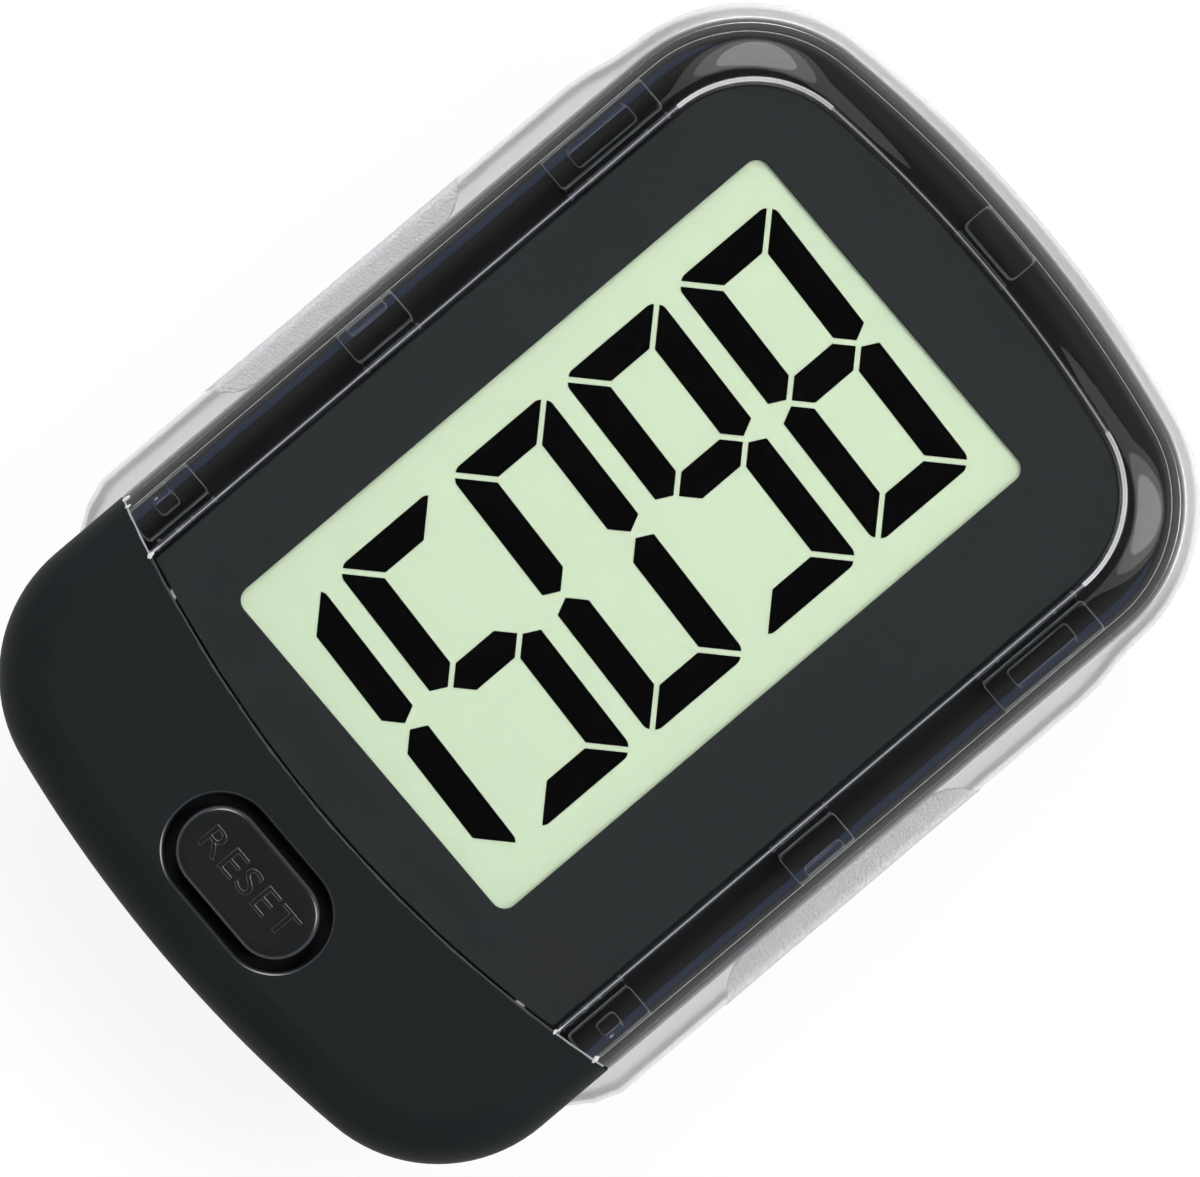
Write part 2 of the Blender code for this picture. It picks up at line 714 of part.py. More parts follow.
def make_rear_shell():
    """The clear back of the case, a tray with wide side grips, screw bosses and the clip's hinge lugs."""
    shell = shell_block("rear_shell")
    cut(shell, prism("shell_cavity", body_outline(COVER_WALL), SHELL_FLOOR_Z, SHELL_RIM_Z + OVERRUN))
    half = DOOR_WIDTH / 2 + SEAT_GAP
    tongue_half = half + DOOR_TONGUE
    middle = SHELL_BACK_Z + SHELL_FLOOR / 2
    top = DOOR_TOP_Y + SEAT_GAP
    inside = SHELL_FLOOR_Z + SEAT_GAP
    cut(shell, door_channel("door_opening", half, top, SHELL_BACK_Z - OVERRUN, inside))
    cut(shell, door_channel("door_groove", tongue_half, top + DOOR_TONGUE, middle, inside))
    boss_top = head_seat_z() + SCREW_BOSS_HEIGHT
    for corner, place in screw_places().items():
        join(shell, rod("shell_boss_" + corner, place, BOSS_RADIUS, SHELL_FLOOR_Z - SEAT_GAP, boss_top))
    for corner, place in screw_places().items():
        sink = SCREW_HEAD_RADIUS + SEAT_GAP
        hole = SCREW_RADIUS + SCREW_CLEARANCE
        cut(shell, rod("shell_sink_" + corner, place, sink, SHELL_BACK_Z - OVERRUN, head_seat_z()))
        cut(shell, rod("shell_hole_" + corner, place, hole, SHELL_BACK_Z, boss_top + OVERRUN))
    for side, sign in (("left", -1), ("right", 1)):
        inner = EAR_SPACING / 2 + EAR_WIDTH + SEAT_GAP
        reach = sorted((sign * inner, sign * (inner + LUG_WIDTH)))
        root = SHELL_BACK_Z + SHELL_FLOOR / 2
        join(shell, side_prism("lug_" + side, knuckle_outline(root), *reach))
    bore = PIN_RADIUS + PIN_CLEARANCE
    pin_reach = SHELL_WIDTH / 2
    cut(shell, rod("lug_bore", (HINGE_Y, HINGE_Z), bore, -pin_reach, pin_reach, "X", ROUND_SIDES))
    return finish(shell, SHELL_CLEAR)


# Clear cover and black cap

def case_front(name):
    """The case's front as one hollow block, before the seam parts it into cover and cap."""
    front = prism(name, body_outline(0), COVER_BASE_Z, RIM_Z)
    round_edges(front, RIM_Z, RIM_ROUND, RIM_ROUND_STEPS)
    cavity = prism(name + "_cavity", body_outline(COVER_WALL), COVER_BASE_Z - OVERRUN, LENS_Z)
    return cut(front, cavity)


def hook_spans():
    """Name, lower end and length of each snap hook on a side of the cover."""
    return [
        ("upper", UPPER_HOOK_Y, UPPER_HOOK_LENGTH),
        ("middle", -MIDDLE_HOOK_FOOT, MIDDLE_HOOK_LENGTH),
        ("lower", LOWER_HOOK_Y, LOWER_HOOK_LENGTH),
    ]


def make_front_cover():
    """The clear cover: a raised rim round a flat lens, with snap hooks inside the frame's side walls."""
    cover = case_front("front_cover")
    foot_z = SIDE_WALL_TOP_Z + SEAL_GAP
    cut(cover, prism("cover_foot", body_outline(-OVERRUN), COVER_BASE_Z - OVERRUN, foot_z))
    cut(cover, prism("lens_recess", panel_outline(0, -OVERRUN), LENS_TOP_Z, RIM_Z + OVERRUN))
    hook_low = COVER_BASE_Z + SEAT_GAP
    hook_high = LENS_Z + LENS_THICKNESS / 2
    wall = BODY_WIDTH / 2 - COVER_WALL - SEAL_GAP
    for side, sign in (("left", -1), ("right", 1)):
        for name, foot, length in hook_spans():
            x_low, x_high = sorted((sign * (wall - HOOK_WIDTH), sign * wall))
            low = (x_low, foot, hook_low)
            join(cover, box(f"hook_{name}_{side}", low, (x_high, foot + length, hook_high)))
    end_wall = COVER_TOP_Y - COVER_WALL - SEAL_GAP
    half = END_HOOK_WIDTH / 2
    low = (-half, end_wall - END_HOOK_DEPTH, hook_low)
    join(cover, box("hook_end", low, (half, end_wall, hook_high)))
    cut(cover, prism("cap_side", cap_region(0), COVER_BASE_Z - OVERRUN, RIM_Z + OVERRUN))
    return finish(cover, CLEAR)


def button_outline(grow):
    """Plan of the reset button, grown evenly."""
    length = BUTTON_LENGTH + 2 * grow
    width = BUTTON_WIDTH + 2 * grow
    return rectangle((0, BUTTON_Y), length, width, BUTTON_CORNER + grow)


def make_bottom_cap():
    """The black cap that closes the lower end and carries the reset button."""
    cap = case_front("bottom_cap")
    for corner, place in screw_places().items():
        if place[1] < 0:
            boss_low = COVER_BASE_Z + SEAT_GAP
            join(cap, rod("cap_boss_" + corner, place, BOSS_RADIUS, boss_low, LENS_Z + SEAT_GAP))
            hole = SCREW_RADIUS + SCREW_CLEARANCE
            cut(cap, rod("cap_hole_" + corner, place, hole, COVER_BASE_Z - OVERRUN, LENS_Z - SEAT_GAP))
    keep(cap, prism("cap_body", cap_region(-SEAT_GAP), COVER_BASE_Z - OVERRUN, RIM_Z + OVERRUN))
    hole = prism("button_hole", button_outline(BUTTON_GROOVE), LENS_Z - OVERRUN, RIM_Z + OVERRUN)
    cut(cap, hole)
    return finish(cap, BLACK)


def flange_top_z():
    """Height of the top of the button's retaining flange."""
    return LENS_Z - SEAT_GAP


def make_reset_button():
    """The reset button, with a flange under the cap that keeps it in."""
    flange_low = flange_top_z() - BUTTON_FLANGE
    button = prism("reset_button", button_outline(0), flange_low, BUTTON_TOP_Z)
    round_edges(button, BUTTON_TOP_Z, BUTTON_EDGE, 2)
    grow = BUTTON_GROOVE + FLANGE_LIP
    join(button, prism("button_flange", button_outline(grow), flange_low, flange_top_z()))
    set_origin(button, (0, BUTTON_Y, flange_low))
    return finish(button, BUTTON_BLACK)


def make_button_pad():
    """The silicone dome that pushes the reset button back up."""
    foot = BOARD_TOP_Z + SEAT_GAP
    top = flange_top_z() - BUTTON_FLANGE - SEAT_GAP
    height = top - foot
    profile = [
        (0, height),
        (PAD_RADIUS - PAD_WALL, height),
        (PAD_RADIUS, PAD_WALL),
        (PAD_RADIUS, 0),
        (PAD_RADIUS - PAD_WALL, 0),
        (PAD_RADIUS - PAD_WALL, PAD_WALL),
        (0, PAD_WALL),
    ]
    return finish(turned("button_pad", profile, (0, BUTTON_Y, foot)), SILICONE)


# Inner frame

def board_outline(grow):
    """Plan of the circuit board, a wide body with a narrow tongue under the button."""
    half = BOARD_WIDTH / 2 + grow
    tongue = BOARD_TONGUE_WIDTH / 2 + grow
    top = BOARD_TOP_Y + grow
    shoulder = BOARD_SHOULDER_Y - grow
    foot = BOARD_BOTTOM_Y - grow
    corners = [
        (half, shoulder),
        (half, top),
        (-half, top),
        (-half, shoulder),
        (-tongue, shoulder - BOARD_CORNER),
        (-tongue, foot),
        (tongue, foot),
        (tongue, shoulder - BOARD_CORNER),
    ]
    return filleted(corners, BOARD_CORNER, 2)


def glass_centre():
    """Plan centre of the display glasses."""
    return (DISPLAY_X, DISPLAY_Y)


def strip_x(side):
    """Centre of the contact strip on one side, under the front glass's ledge."""
    return DISPLAY_X + side * (FRONT_GLASS_WIDTH / 2 - CONTACT_LEDGE / 2)


def make_inner_frame():
    """The black frame: a skirt in the shell, a flange, side walls under the cover and a display tower."""
    frame = prism("inner_frame", panel_outline(TOWER_GAP, TOWER_GAP), FRAME_FLANGE_Z, TOWER_TOP_Z)
    flange_top = COVER_BASE_Z
    join(frame, prism("frame_flange", body_outline(FRAME_INSET), FRAME_FLANGE_Z, flange_top))
    seal_low = SHELL_RIM_Z + SEAL_GAP
    seal_top = flange_top - SEAL_GAP
    side_wall = prism("frame_side_wall", body_outline(0), seal_low, SIDE_WALL_TOP_Z)
    cut(side_wall, prism("side_wall_inside", body_outline(COVER_WALL), seal_top, SIDE_WALL_TOP_Z + OVERRUN))
    cut(side_wall, prism("side_wall_foot", cap_region(SEAL_GAP), seal_top, SIDE_WALL_TOP_Z + OVERRUN))
    join(frame, side_wall)
    skirt = prism("frame_skirt", body_outline(FRAME_INSET), CELL_Z, FRAME_FLANGE_Z + FLANGE_THICKNESS / 2)
    skirt_inside = body_outline(FRAME_INSET + SKIRT_WALL)
    cut(skirt, prism("skirt_inside", skirt_inside, CELL_Z - OVERRUN, FRAME_FLANGE_Z + OVERRUN))
    join(frame, skirt)
    cut(frame, prism("board_pocket", board_outline(SEAT_GAP), CELL_Z - OVERRUN, PLATE_Z))
    pocket_x = FRONT_GLASS_WIDTH + 2 * SEAT_GAP
    pocket_y = FRONT_GLASS_LENGTH + 2 * SEAT_GAP
    pocket = rectangle(glass_centre(), pocket_x, pocket_y, WINDOW_CORNER)
    cut(frame, prism("display_pocket", pocket, PLATE_TOP_Z, TOWER_TOP_Z + OVERRUN))
    for name, side in (("left", -1), ("right", 1)):
        slot = rectangle(
            (strip_x(side), DISPLAY_Y), STRIP_WIDTH + SEAT_GAP, STRIP_LENGTH + 2 * SEAT_GAP, FILM_GAP
        )
        cut(frame, prism("strip_slot_" + name, slot, PLATE_Z - OVERRUN / 2, PLATE_TOP_Z + OVERRUN / 2))
    boss_low = head_seat_z() + SCREW_BOSS_HEIGHT + SEAT_GAP
    for corner, place in screw_places().items():
        room = BOSS_RADIUS + SEAT_GAP
        cut(frame, rod("boss_room_" + corner, place, room, CELL_Z - OVERRUN, boss_low))
    for corner, place in screw_places().items():
        join(frame, rod("frame_boss_" + corner, place, BOSS_RADIUS, boss_low, flange_top))
    for corner, place in screw_places().items():
        hole_top = flange_top + OVERRUN if place[1] < 0 else upper_screw_tip() + SEAT_GAP
        hole = SCREW_RADIUS + SCREW_CLEARANCE
        cut(frame, rod("frame_hole_" + corner, place, hole, boss_low - OVERRUN, hole_top))
    for name, place in board_screw_places().items():
        post_top = PLATE_Z + FRAME_PLATE / 2
        join(frame, rod("post_" + name, place, POST_RADIUS, BOARD_TOP_Z + FILM_GAP, post_top))
    for name, place in board_screw_places().items():
        hole = BOARD_SCREW_RADIUS + SCREW_CLEARANCE
        hole_top = board_screw_tip() + FILM_GAP
        cut(frame, rod("post_hole_" + name, place, hole, BOARD_TOP_Z - OVERRUN, hole_top))
    return finish(frame, BLACK)


# Display

def make_display_mask():
    """The thin black mask behind the lens, with a window for the display."""
    mask = prism("display_mask", panel_outline(FILM_GAP, FILM_GAP), MASK_Z, MASK_Z + MASK_THICKNESS)
    window = rectangle(glass_centre(), WINDOW_WIDTH, WINDOW_LENGTH, WINDOW_CORNER)
    cut(mask, prism("mask_window", window, MASK_Z - OVERRUN, MASK_Z + OVERRUN))
    return finish(mask, MASK_BLACK)


def make_glass(name, width, low):
    """One of the two glasses of the display."""
    outline = rectangle(glass_centre(), width, FRONT_GLASS_LENGTH, FILM_GAP)
    return finish(prism(name, outline, low, low + GLASS_THICKNESS), GLASS)


def rear_glass_width():
    """The rear glass stops short of the front glass's contact ledges."""
    return FRONT_GLASS_WIDTH - 2 * CONTACT_LEDGE


def make_reflector():
    """The pale green reflector behind the display."""
    outline = rectangle(glass_centre(), rear_glass_width(), FRONT_GLASS_LENGTH, FILM_GAP)
    reflector = prism("display_reflector", outline, REFLECTOR_Z, REFLECTOR_Z + REFLECTOR_THICKNESS)
    return finish(reflector, DISPLAY_GREEN)


LIT_SEGMENTS = {
    "0": "abcdef",
    "1": "bc",
    "5": "acdfg",
    "8": "abcdefg",
    "9": "abcdfg",
}


def segment_outlines():
    """Outlines of the seven segments of one digit, about its centre, with u to the right and v up."""
    half_w = DIGIT_WIDTH / 2
    half_h = DIGIT_HEIGHT / 2
    stroke = DIGIT_STROKE
    mitre = SEGMENT_GAP / math.sqrt(2)
    middle = stroke / 2 + mitre
    inner = half_w - stroke
    corner_u = -half_w + DIGIT_ROUND
    corner_v = half_h - DIGIT_ROUND
    mitre_angle = math.pi * 3 / 4
    arc_top = arc((corner_u + mitre, corner_v), DIGIT_ROUND, mitre_angle, math.pi / 2, ROUND_STEPS)
    arc_side = arc((corner_u, corner_v - mitre), DIGIT_ROUND, math.pi, mitre_angle, ROUND_STEPS)
    top_left = [(-inner + mitre, half_h - stroke)] + arc_top
    top = top_left + [(-u, v) for u, v in reversed(top_left)]
    upper_left = [
        (-half_w, mitre + stroke / 4),
        *arc_side,
        (-inner, half_h - stroke - mitre),
        (-inner, middle),
        (-half_w + stroke / 2, mitre),
    ]
    bar_left = [(-inner + mitre, -stroke / 2), (-half_w + middle, 0), (-inner + mitre, stroke / 2)]
    bar = bar_left + [(-u, -v) for u, v in bar_left]
    return {
        "a": top,
        "b": [(-u, v) for u, v in upper_left],
        "c": [(-u, -v) for u, v in upper_left],
        "d": [(u, -v) for u, v in top],
        "e": [(u, -v) for u, v in upper_left],
        "f": upper_left,
        "g": bar,
    }


def make_segment_film():
    """The layer between the glasses, with the lit segments standing on it."""
    film_top = FILM_Z + SEGMENT_FILM
    outline = rectangle(glass_centre(), rear_glass_width(), FRONT_GLASS_LENGTH, FILM_GAP)
    film = prism("segment_film", outline, FILM_Z, film_top)
    shapes = segment_outlines()
    first = (len(READING) - 1) / 2
    for index, digit in enumerate(READING):
        centre_y = DIGITS_Y + (index - first) * DIGIT_PITCH
        for name in LIT_SEGMENTS[digit]:
            outline = [(DIGITS_X - v, centre_y + u + DIGIT_SLANT_SHARE * v) for u, v in shapes[name]]
            low = FILM_Z + SEGMENT_FILM / 2
            join(film, prism(f"segment_{index}{name}", outline, low, film_top + SEGMENT_RELIEF))
    return finish(film, SEGMENT_BLACK)


def make_contact_strip(name, side):
    """An elastomer strip that joins the glass's contacts to the board."""
    low = BOARD_TOP_Z + FILM_GAP
    high = FRONT_GLASS_Z - FILM_GAP
    half_x = (STRIP_WIDTH - SEAT_GAP) / 2
    half_y = STRIP_LENGTH / 2
    x = strip_x(side)
    return finish(
        box(name, (x - half_x, DISPLAY_Y - half_y, low), (x + half_x, DISPLAY_Y + half_y, high)), RUBBER
    )


# Circuit board and its components

def board_screw_places():
    """Plan places of the two board screws."""
    return {"left": (-BOARD_SCREW_X, BOARD_SCREW_Y), "right": (BOARD_SCREW_X, BOARD_SCREW_Y)}


def make_circuit_board():
    """The board, drilled for its two screws."""
    board = prism("circuit_board", board_outline(0), BOARD_Z, BOARD_TOP_Z)
    for name, place in board_screw_places().items():
        hole = BOARD_SCREW_RADIUS + SCREW_CLEARANCE
        cut(board, rod("board_hole_" + name, place, hole, BOARD_Z - OVERRUN, BOARD_TOP_Z + OVERRUN))
    return finish(board, BOARD_GREEN)


def bay_place(x, share):
    """A place in the bay between the cell's holder and the board's top edge."""
    return (x, BAY_Y + BAY_LENGTH * share)


def make_processor():
    """The processor, a chip under a blob of black resin on the back of the board."""
    half = BLOB_HEIGHT / 2
    profile = [
        (0, BLOB_HEIGHT),
        (BLOB_RADIUS, BLOB_HEIGHT),
        (BLOB_RADIUS * math.cos(math.pi / 6), half),
        (BLOB_RADIUS / 2, FILM_GAP),
        (0, 0),
    ]
    place = (*bay_place(BLOB_X, BLOB_SHARE), BOARD_BACK_Z - BLOB_HEIGHT)
    return finish(turned("processor_blob", profile, place), EPOXY)


def make_block(name, size, place, material):
    """A soldered component on the back of the board."""
    half_x = size[0] / 2
    half_y = size[1] / 2
    low = (place[0] - half_x, place[1] - half_y, BOARD_BACK_Z - size[2])
    high = (place[0] + half_x, place[1] + half_y, BOARD_BACK_Z)
    return finish(box(name, low, high), material)


def make_components():
    """The motion sensor, the clock crystal and the small chips."""
    blob_left = BLOB_X - BLOB_RADIUS
    blob_right = BLOB_X + BLOB_RADIUS
    sensor_place = bay_place(blob_right + SENSOR_COLUMN, SENSOR_SHARE)
    make_block("motion_sensor", SENSOR_SIZE, sensor_place, CHIP_DARK)
    crystal_y = bay_place(CRYSTAL_X, CRYSTAL_SHARE)[1]
    low = CRYSTAL_X - CRYSTAL_LENGTH / 2
    centre = (crystal_y, BOARD_BACK_Z - CRYSTAL_RADIUS)
    finish(rod("clock_crystal", centre, CRYSTAL_RADIUS, low, low + CRYSTAL_LENGTH, "X"), TIN)
    places = {"capacitor_top": bay_place(blob_left - TOP_CHIP_SHIFT, TOP_CHIP_SHARE)}
    for name, share in LEFT_CHIP_SHARES.items():
        places[name] = bay_place(blob_left - LEFT_COLUMN, share)
    for name, share in MIDDLE_CHIP_SHARES.items():
        places[name] = bay_place(blob_right + MIDDLE_COLUMN, share)
    for name, place in places.items():
        material = CHIP_TAN if name.startswith("capacitor") else CHIP_DARK
        make_block(name, CHIP_SIZE, place, material)


# Coin cell, holder and contacts

def make_coin_cell():
    """The coin cell, with its positive can towards the door and its lid towards the board."""
    profile = [
        (0, CELL_THICKNESS),
        (CELL_LID_RADIUS, CELL_THICKNESS),
        (CELL_LID_RADIUS, CELL_THICKNESS - CELL_STEP),
        (CELL_RADIUS - CELL_EDGE, CELL_THICKNESS - CELL_STEP),
        (CELL_RADIUS, CELL_THICKNESS - CELL_STEP - CELL_EDGE),
        (CELL_RADIUS, CELL_EDGE),
        (CELL_RADIUS - CELL_EDGE, 0),
        (0, 0),
    ]
    return finish(turned("coin_cell", profile, (0, CELL_Y, CELL_Z), ROUND_SIDES * 2), STEEL)


def make_battery_holder():
    """The black ring that keeps the cell over the door and carries the positive contact."""
    top = BOARD_Z - SEAT_GAP
    outline = rectangle((0, CELL_Y), HOLDER_WIDTH, HOLDER_LENGTH, HOLDER_CORNER)
    holder = prism("battery_holder", outline, CELL_Z, top)
    bay = CELL_RADIUS + SEAT_GAP
    cut(holder, rod("cell_bay", (0, CELL_Y), bay, CELL_Z - OVERRUN, top + OVERRUN, "Z", ROUND_SIDES * 2))
    half = PLUS_CONTACT_WIDTH / 2 + SEAT_GAP
    low = (-half, CELL_Y + CELL_RADIUS - OVERRUN, CELL_Z - OVERRUN)
    cut(holder, box("contact_notch", low, (half, CELL_Y + HOLDER_LENGTH, top + OVERRUN)))
    return finish(holder, BLACK)


def make_contacts():
    """The spring contacts: one beside the cell's can, one over its lid."""
    side = CELL_Y + CELL_RADIUS + SEAT_GAP + CONTACT_THICKNESS / 2
    foot = BOARD_Z - FILM_GAP - CONTACT_THICKNESS / 2
    plus_route = [(side, CELL_Z + SEAT_GAP), (side, foot), (side + PLUS_CONTACT_FOOT, foot)]
    plus = bent_strip("positive_contact", plus_route, PLUS_CONTACT_WIDTH, CONTACT_THICKNESS, 0)
    finish(plus, SPRING_STEEL)
    start = CELL_Y - MINUS_CONTACT_LENGTH / 2
    touch = CELL_TOP_Z + SEAT_GAP
    knee = start + MINUS_CONTACT_LENGTH / 3
    end = start + MINUS_CONTACT_LENGTH
    tip = (end, touch + CONTACT_THICKNESS)
    minus_route = [(start, foot), (knee, foot), (end - CONTACT_SPACE, touch), tip]
    minus = bent_strip("negative_contact", minus_route, MINUS_CONTACT_WIDTH, CONTACT_THICKNESS, 0)
    finish(minus, SPRING_STEEL)


# Battery door

def make_battery_door():
    """The door behind the cell, which slides off past the foot of the shell on its side tongues."""
    door = shell_block("battery_door")
    half = DOOR_WIDTH / 2
    middle = SHELL_BACK_Z + SHELL_FLOOR / 2
    region = door_channel("door_plate", half, DOOR_TOP_Y, SHELL_BACK_Z - OVERRUN, SHELL_FLOOR_Z)
    tongue = door_channel(
        "door_tongue", half + DOOR_TONGUE, DOOR_TOP_Y + DOOR_TONGUE, middle + SEAT_GAP, SHELL_FLOOR_Z
    )
    join(region, tongue)
    keep(door, region)
    for index in range(DOOR_GRIP_COUNT):
        low_y = DOOR_GRIP_Y + index * DOOR_GRIP_PITCH
        grip_half = DOOR_GRIP_WIDTH / 2
        low = (-grip_half, low_y, SHELL_BACK_Z - OVERRUN)
        high = (grip_half, low_y + DOOR_GRIP_GROOVE, SHELL_BACK_Z + DOOR_GRIP_DEPTH)
        cut(door, box(f"door_grip_{index}", low, high))
    set_origin(door, (0, DOOR_TOP_Y, SHELL_BACK_Z))
    return finish(door, SHELL_CLEAR)


# Screws

def upper_screw_tip():
    """Height of the tips of the two upper case screws."""
    return head_seat_z() + SCREW_BOSS_HEIGHT + UPPER_SCREW_GRIP


def board_screw_tip():
    """Height of the tips of the board screws."""
    return PLATE_TOP_Z - SCREW_CLEARANCE


def make_screw(name, place, head_low, tip, radius, head_radius, head_height):
    """A self-tapping screw with a cross in its head, driven from the back."""
    profile = [
        (0, tip - head_low),
        (radius / 2, tip - head_low),
        (radius, tip - head_low - radius / 2),
        (radius, head_height),
        (head_radius, head_height),
        (head_radius, 0),
        (0, 0),
    ]
    screw = turned(name, profile, (*place, head_low))
    half_width = DRIVE_WIDTH / 2
    half_length = DRIVE_LENGTH / 2
    for axis, reach in (("x", (half_length, half_width)), ("y", (half_width, half_length))):
        low = (place[0] - reach[0], place[1] - reach[1], head_low - OVERRUN)
        high = (place[0] + reach[0], place[1] + reach[1], head_low + DRIVE_DEPTH)
        cut(screw, box(f"{name}_drive_{axis}", low, high))
    return finish(screw, STEEL)


def make_screws():
    """Four case screws, of which the lower two reach the cap, and two board screws."""
    head_low = SHELL_BACK_Z + SCREW_SINK
    for corner, place in screw_places().items():
        tip = LENS_Z - 2 * SEAT_GAP if place[1] < 0 else upper_screw_tip()
        make_screw(
            "case_screw_" + corner, place, head_low, tip, SCREW_RADIUS, SCREW_HEAD_RADIUS, SCREW_HEAD_HEIGHT
        )
    board_head = BOARD_Z - SEAT_GAP - BOARD_SCREW_HEAD_HEIGHT
    for name, place in board_screw_places().items():
        make_screw(
            "board_screw_" + name,
            place,
            board_head,
            board_screw_tip(),
            BOARD_SCREW_RADIUS,
            BOARD_SCREW_HEAD_RADIUS,
            BOARD_SCREW_HEAD_HEIGHT,
        )


# Belt clip

def clip_outline():
    """Plan of the clip's plate, narrower at its tip."""
    tab = CLIP_TAB_WIDTH / 2
    tip = CLIP_TIP_WIDTH / 2
    corners = [(tip, CLIP_FOOT_Y), (tab, CLIP_TOP_Y), (-tab, CLIP_TOP_Y), (-tip, CLIP_FOOT_Y)]
    return filleted(corners, CLIP_CORNER)


def make_belt_clip():
    """The black belt clip: a plate with two ears on the pin, a lip at its tip and a ridged thumb tab."""
    clip = prism("belt_clip", clip_outline(), 0, CLIP_PLATE)
    round_edges(clip, 0, CLIP_EDGE, 2)
    root = CLIP_PLATE / 2
    for side, sign in (("left", -1), ("right", 1)):
        inner = EAR_SPACING / 2
        reach = sorted((sign * inner, sign * (inner + EAR_WIDTH)))
        join(clip, side_prism("ear_" + side, knuckle_outline(root), *reach))
    foot = CLIP_FOOT_Y
    lip_top = SHELL_BACK_Z - SEAT_GAP
    lip = [
        (foot + CLIP_EDGE, root),
        (foot + CLIP_LIP + LIP_FOOT, root),
        (foot + CLIP_LIP, CLIP_PLATE + LIP_FOOT / 2),
        (foot + CLIP_LIP, lip_top - CLIP_EDGE),
        (foot + CLIP_LIP - CLIP_EDGE, lip_top),
        (foot + LIP_SLOPE, lip_top),
        (foot + CLIP_EDGE, lip_top - LIP_SLOPE),
    ]
    lip_half = CLIP_TIP_WIDTH / 2 - CLIP_CORNER
    join(clip, side_prism("clip_lip", lip, -lip_half, lip_half))
    bore = PIN_RADIUS + PIN_CLEARANCE
    cut(clip, rod("ear_bore", (HINGE_Y, HINGE_Z), bore, -CLIP_TAB_WIDTH, CLIP_TAB_WIDTH, "X", ROUND_SIDES))
    groove_half = CLIP_TAB_WIDTH / 2 - CLIP_CORNER / 2
    for index in range(CLIP_GRIP_COUNT):
        high_y = CLIP_TOP_Y - CLIP_CORNER / 2 - index * CLIP_GRIP_PITCH
        low = (-groove_half, high_y - CLIP_GRIP_GROOVE, -OVERRUN)
        cut(clip, box(f"clip_grip_{index}", low, (groove_half, high_y, CLIP_GRIP_DEPTH)))
    set_origin(clip, (0, HINGE_Y, HINGE_Z))
    return finish(clip, BLACK)


def lug_outer_x():
    """How far the shell's hinge lugs reach from the middle."""
    return EAR_SPACING / 2 + EAR_WIDTH + SEAT_GAP + LUG_WIDTH


def make_clip_pin():
    """The steel pin through the lugs and the clip's ears."""
    reach = lug_outer_x()
    return finish(rod("clip_pin", (HINGE_Y, HINGE_Z), PIN_RADIUS, -reach, reach, "X", ROUND_SIDES), STEEL)


def spring_route():
    """Centre line of the torsion spring: a leg on the shell, the coil, and a leg on the clip's tab."""
    half_span = SPRING_PITCH * (SPRING_TURNS + 1 / 2) / 2
    wire = SPRING_WIRE / 2
    shell_leg_z = SHELL_BACK_Z - SEAT_GAP - wire
    clip_leg_z = CLIP_PLATE + SEAT_GAP + wire
    points = [(-half_span, HINGE_Y + SPRING_LEG, shell_leg_z)]
    count = int(SPRING_STEPS * (SPRING_TURNS + 1 / 2))
    for step in range(count + 1):
        turn = 2 * math.pi * step / SPRING_STEPS
        x = -half_span + SPRING_PITCH * step / SPRING_STEPS
        y = HINGE_Y - SPRING_RADIUS * math.sin(turn)
        z = HINGE_Z + SPRING_RADIUS * math.cos(turn)
        points.append((x, y, z))
    points.append((half_span, HINGE_Y + SPRING_LEG, clip_leg_z))
    return points


def make_clip_spring():
    """The torsion spring that holds the clip's lip against the shell."""
    curve = bpy.data.curves.new("clip_spring", "CURVE")
    curve.dimensions = "3D"
    curve.bevel_depth = SPRING_WIRE / 2
    curve.bevel_resolution = 1
    curve.use_fill_caps = True
    spline = curve.splines.new("POLY")
    route = spring_route()
    spline.points.add(len(route) - 1)
    for point, place in zip(spline.points, route):
        point.co = (*place, 1)
    drawn = bpy.data.objects.new("clip_spring_route", curve)
    bpy.context.scene.collection.objects.link(drawn)
    spring = curve_to_mesh("clip_spring", drawn)
    print(f"least gap between the spring's turns: {SPRING_PITCH - SPRING_WIRE:.6f} m")
    return finish(spring, SPRING_STEEL)


def make_pedometer():
    """Make every part."""
    make_rear_shell()
    make_front_cover()
    make_bottom_cap()
    make_reset_button()
    make_button_pad()
    make_inner_frame()
    make_display_mask()
    make_glass("display_front_glass", FRONT_GLASS_WIDTH, FRONT_GLASS_Z)
    make_segment_film()
    make_glass("display_rear_glass", rear_glass_width(), REAR_GLASS_Z)
    make_reflector()
    make_contact_strip("left_contact_strip", -1)
    make_contact_strip("right_contact_strip", 1)
    make_circuit_board()
    make_processor()
    make_components()
    make_coin_cell()
    make_battery_holder()
    make_contacts()
    make_battery_door()
    make_screws()
    make_belt_clip()
    make_clip_pin()
    make_clip_spring()
    bpy.context.view_layer.update()


make_pedometer()
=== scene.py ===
# %% [markdown]
# # A clip-on pedometer
# The real thing is a small step counter: a clear cover and a black cap over a sealed case, a digit display
# in the middle, and a sprung clip behind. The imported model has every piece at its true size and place, and
# this script gives each one its final surface. It is loaded first, because every piece rides on its bodies.

import math
import random

import bmesh
import bpy
from mathutils import Matrix, Vector


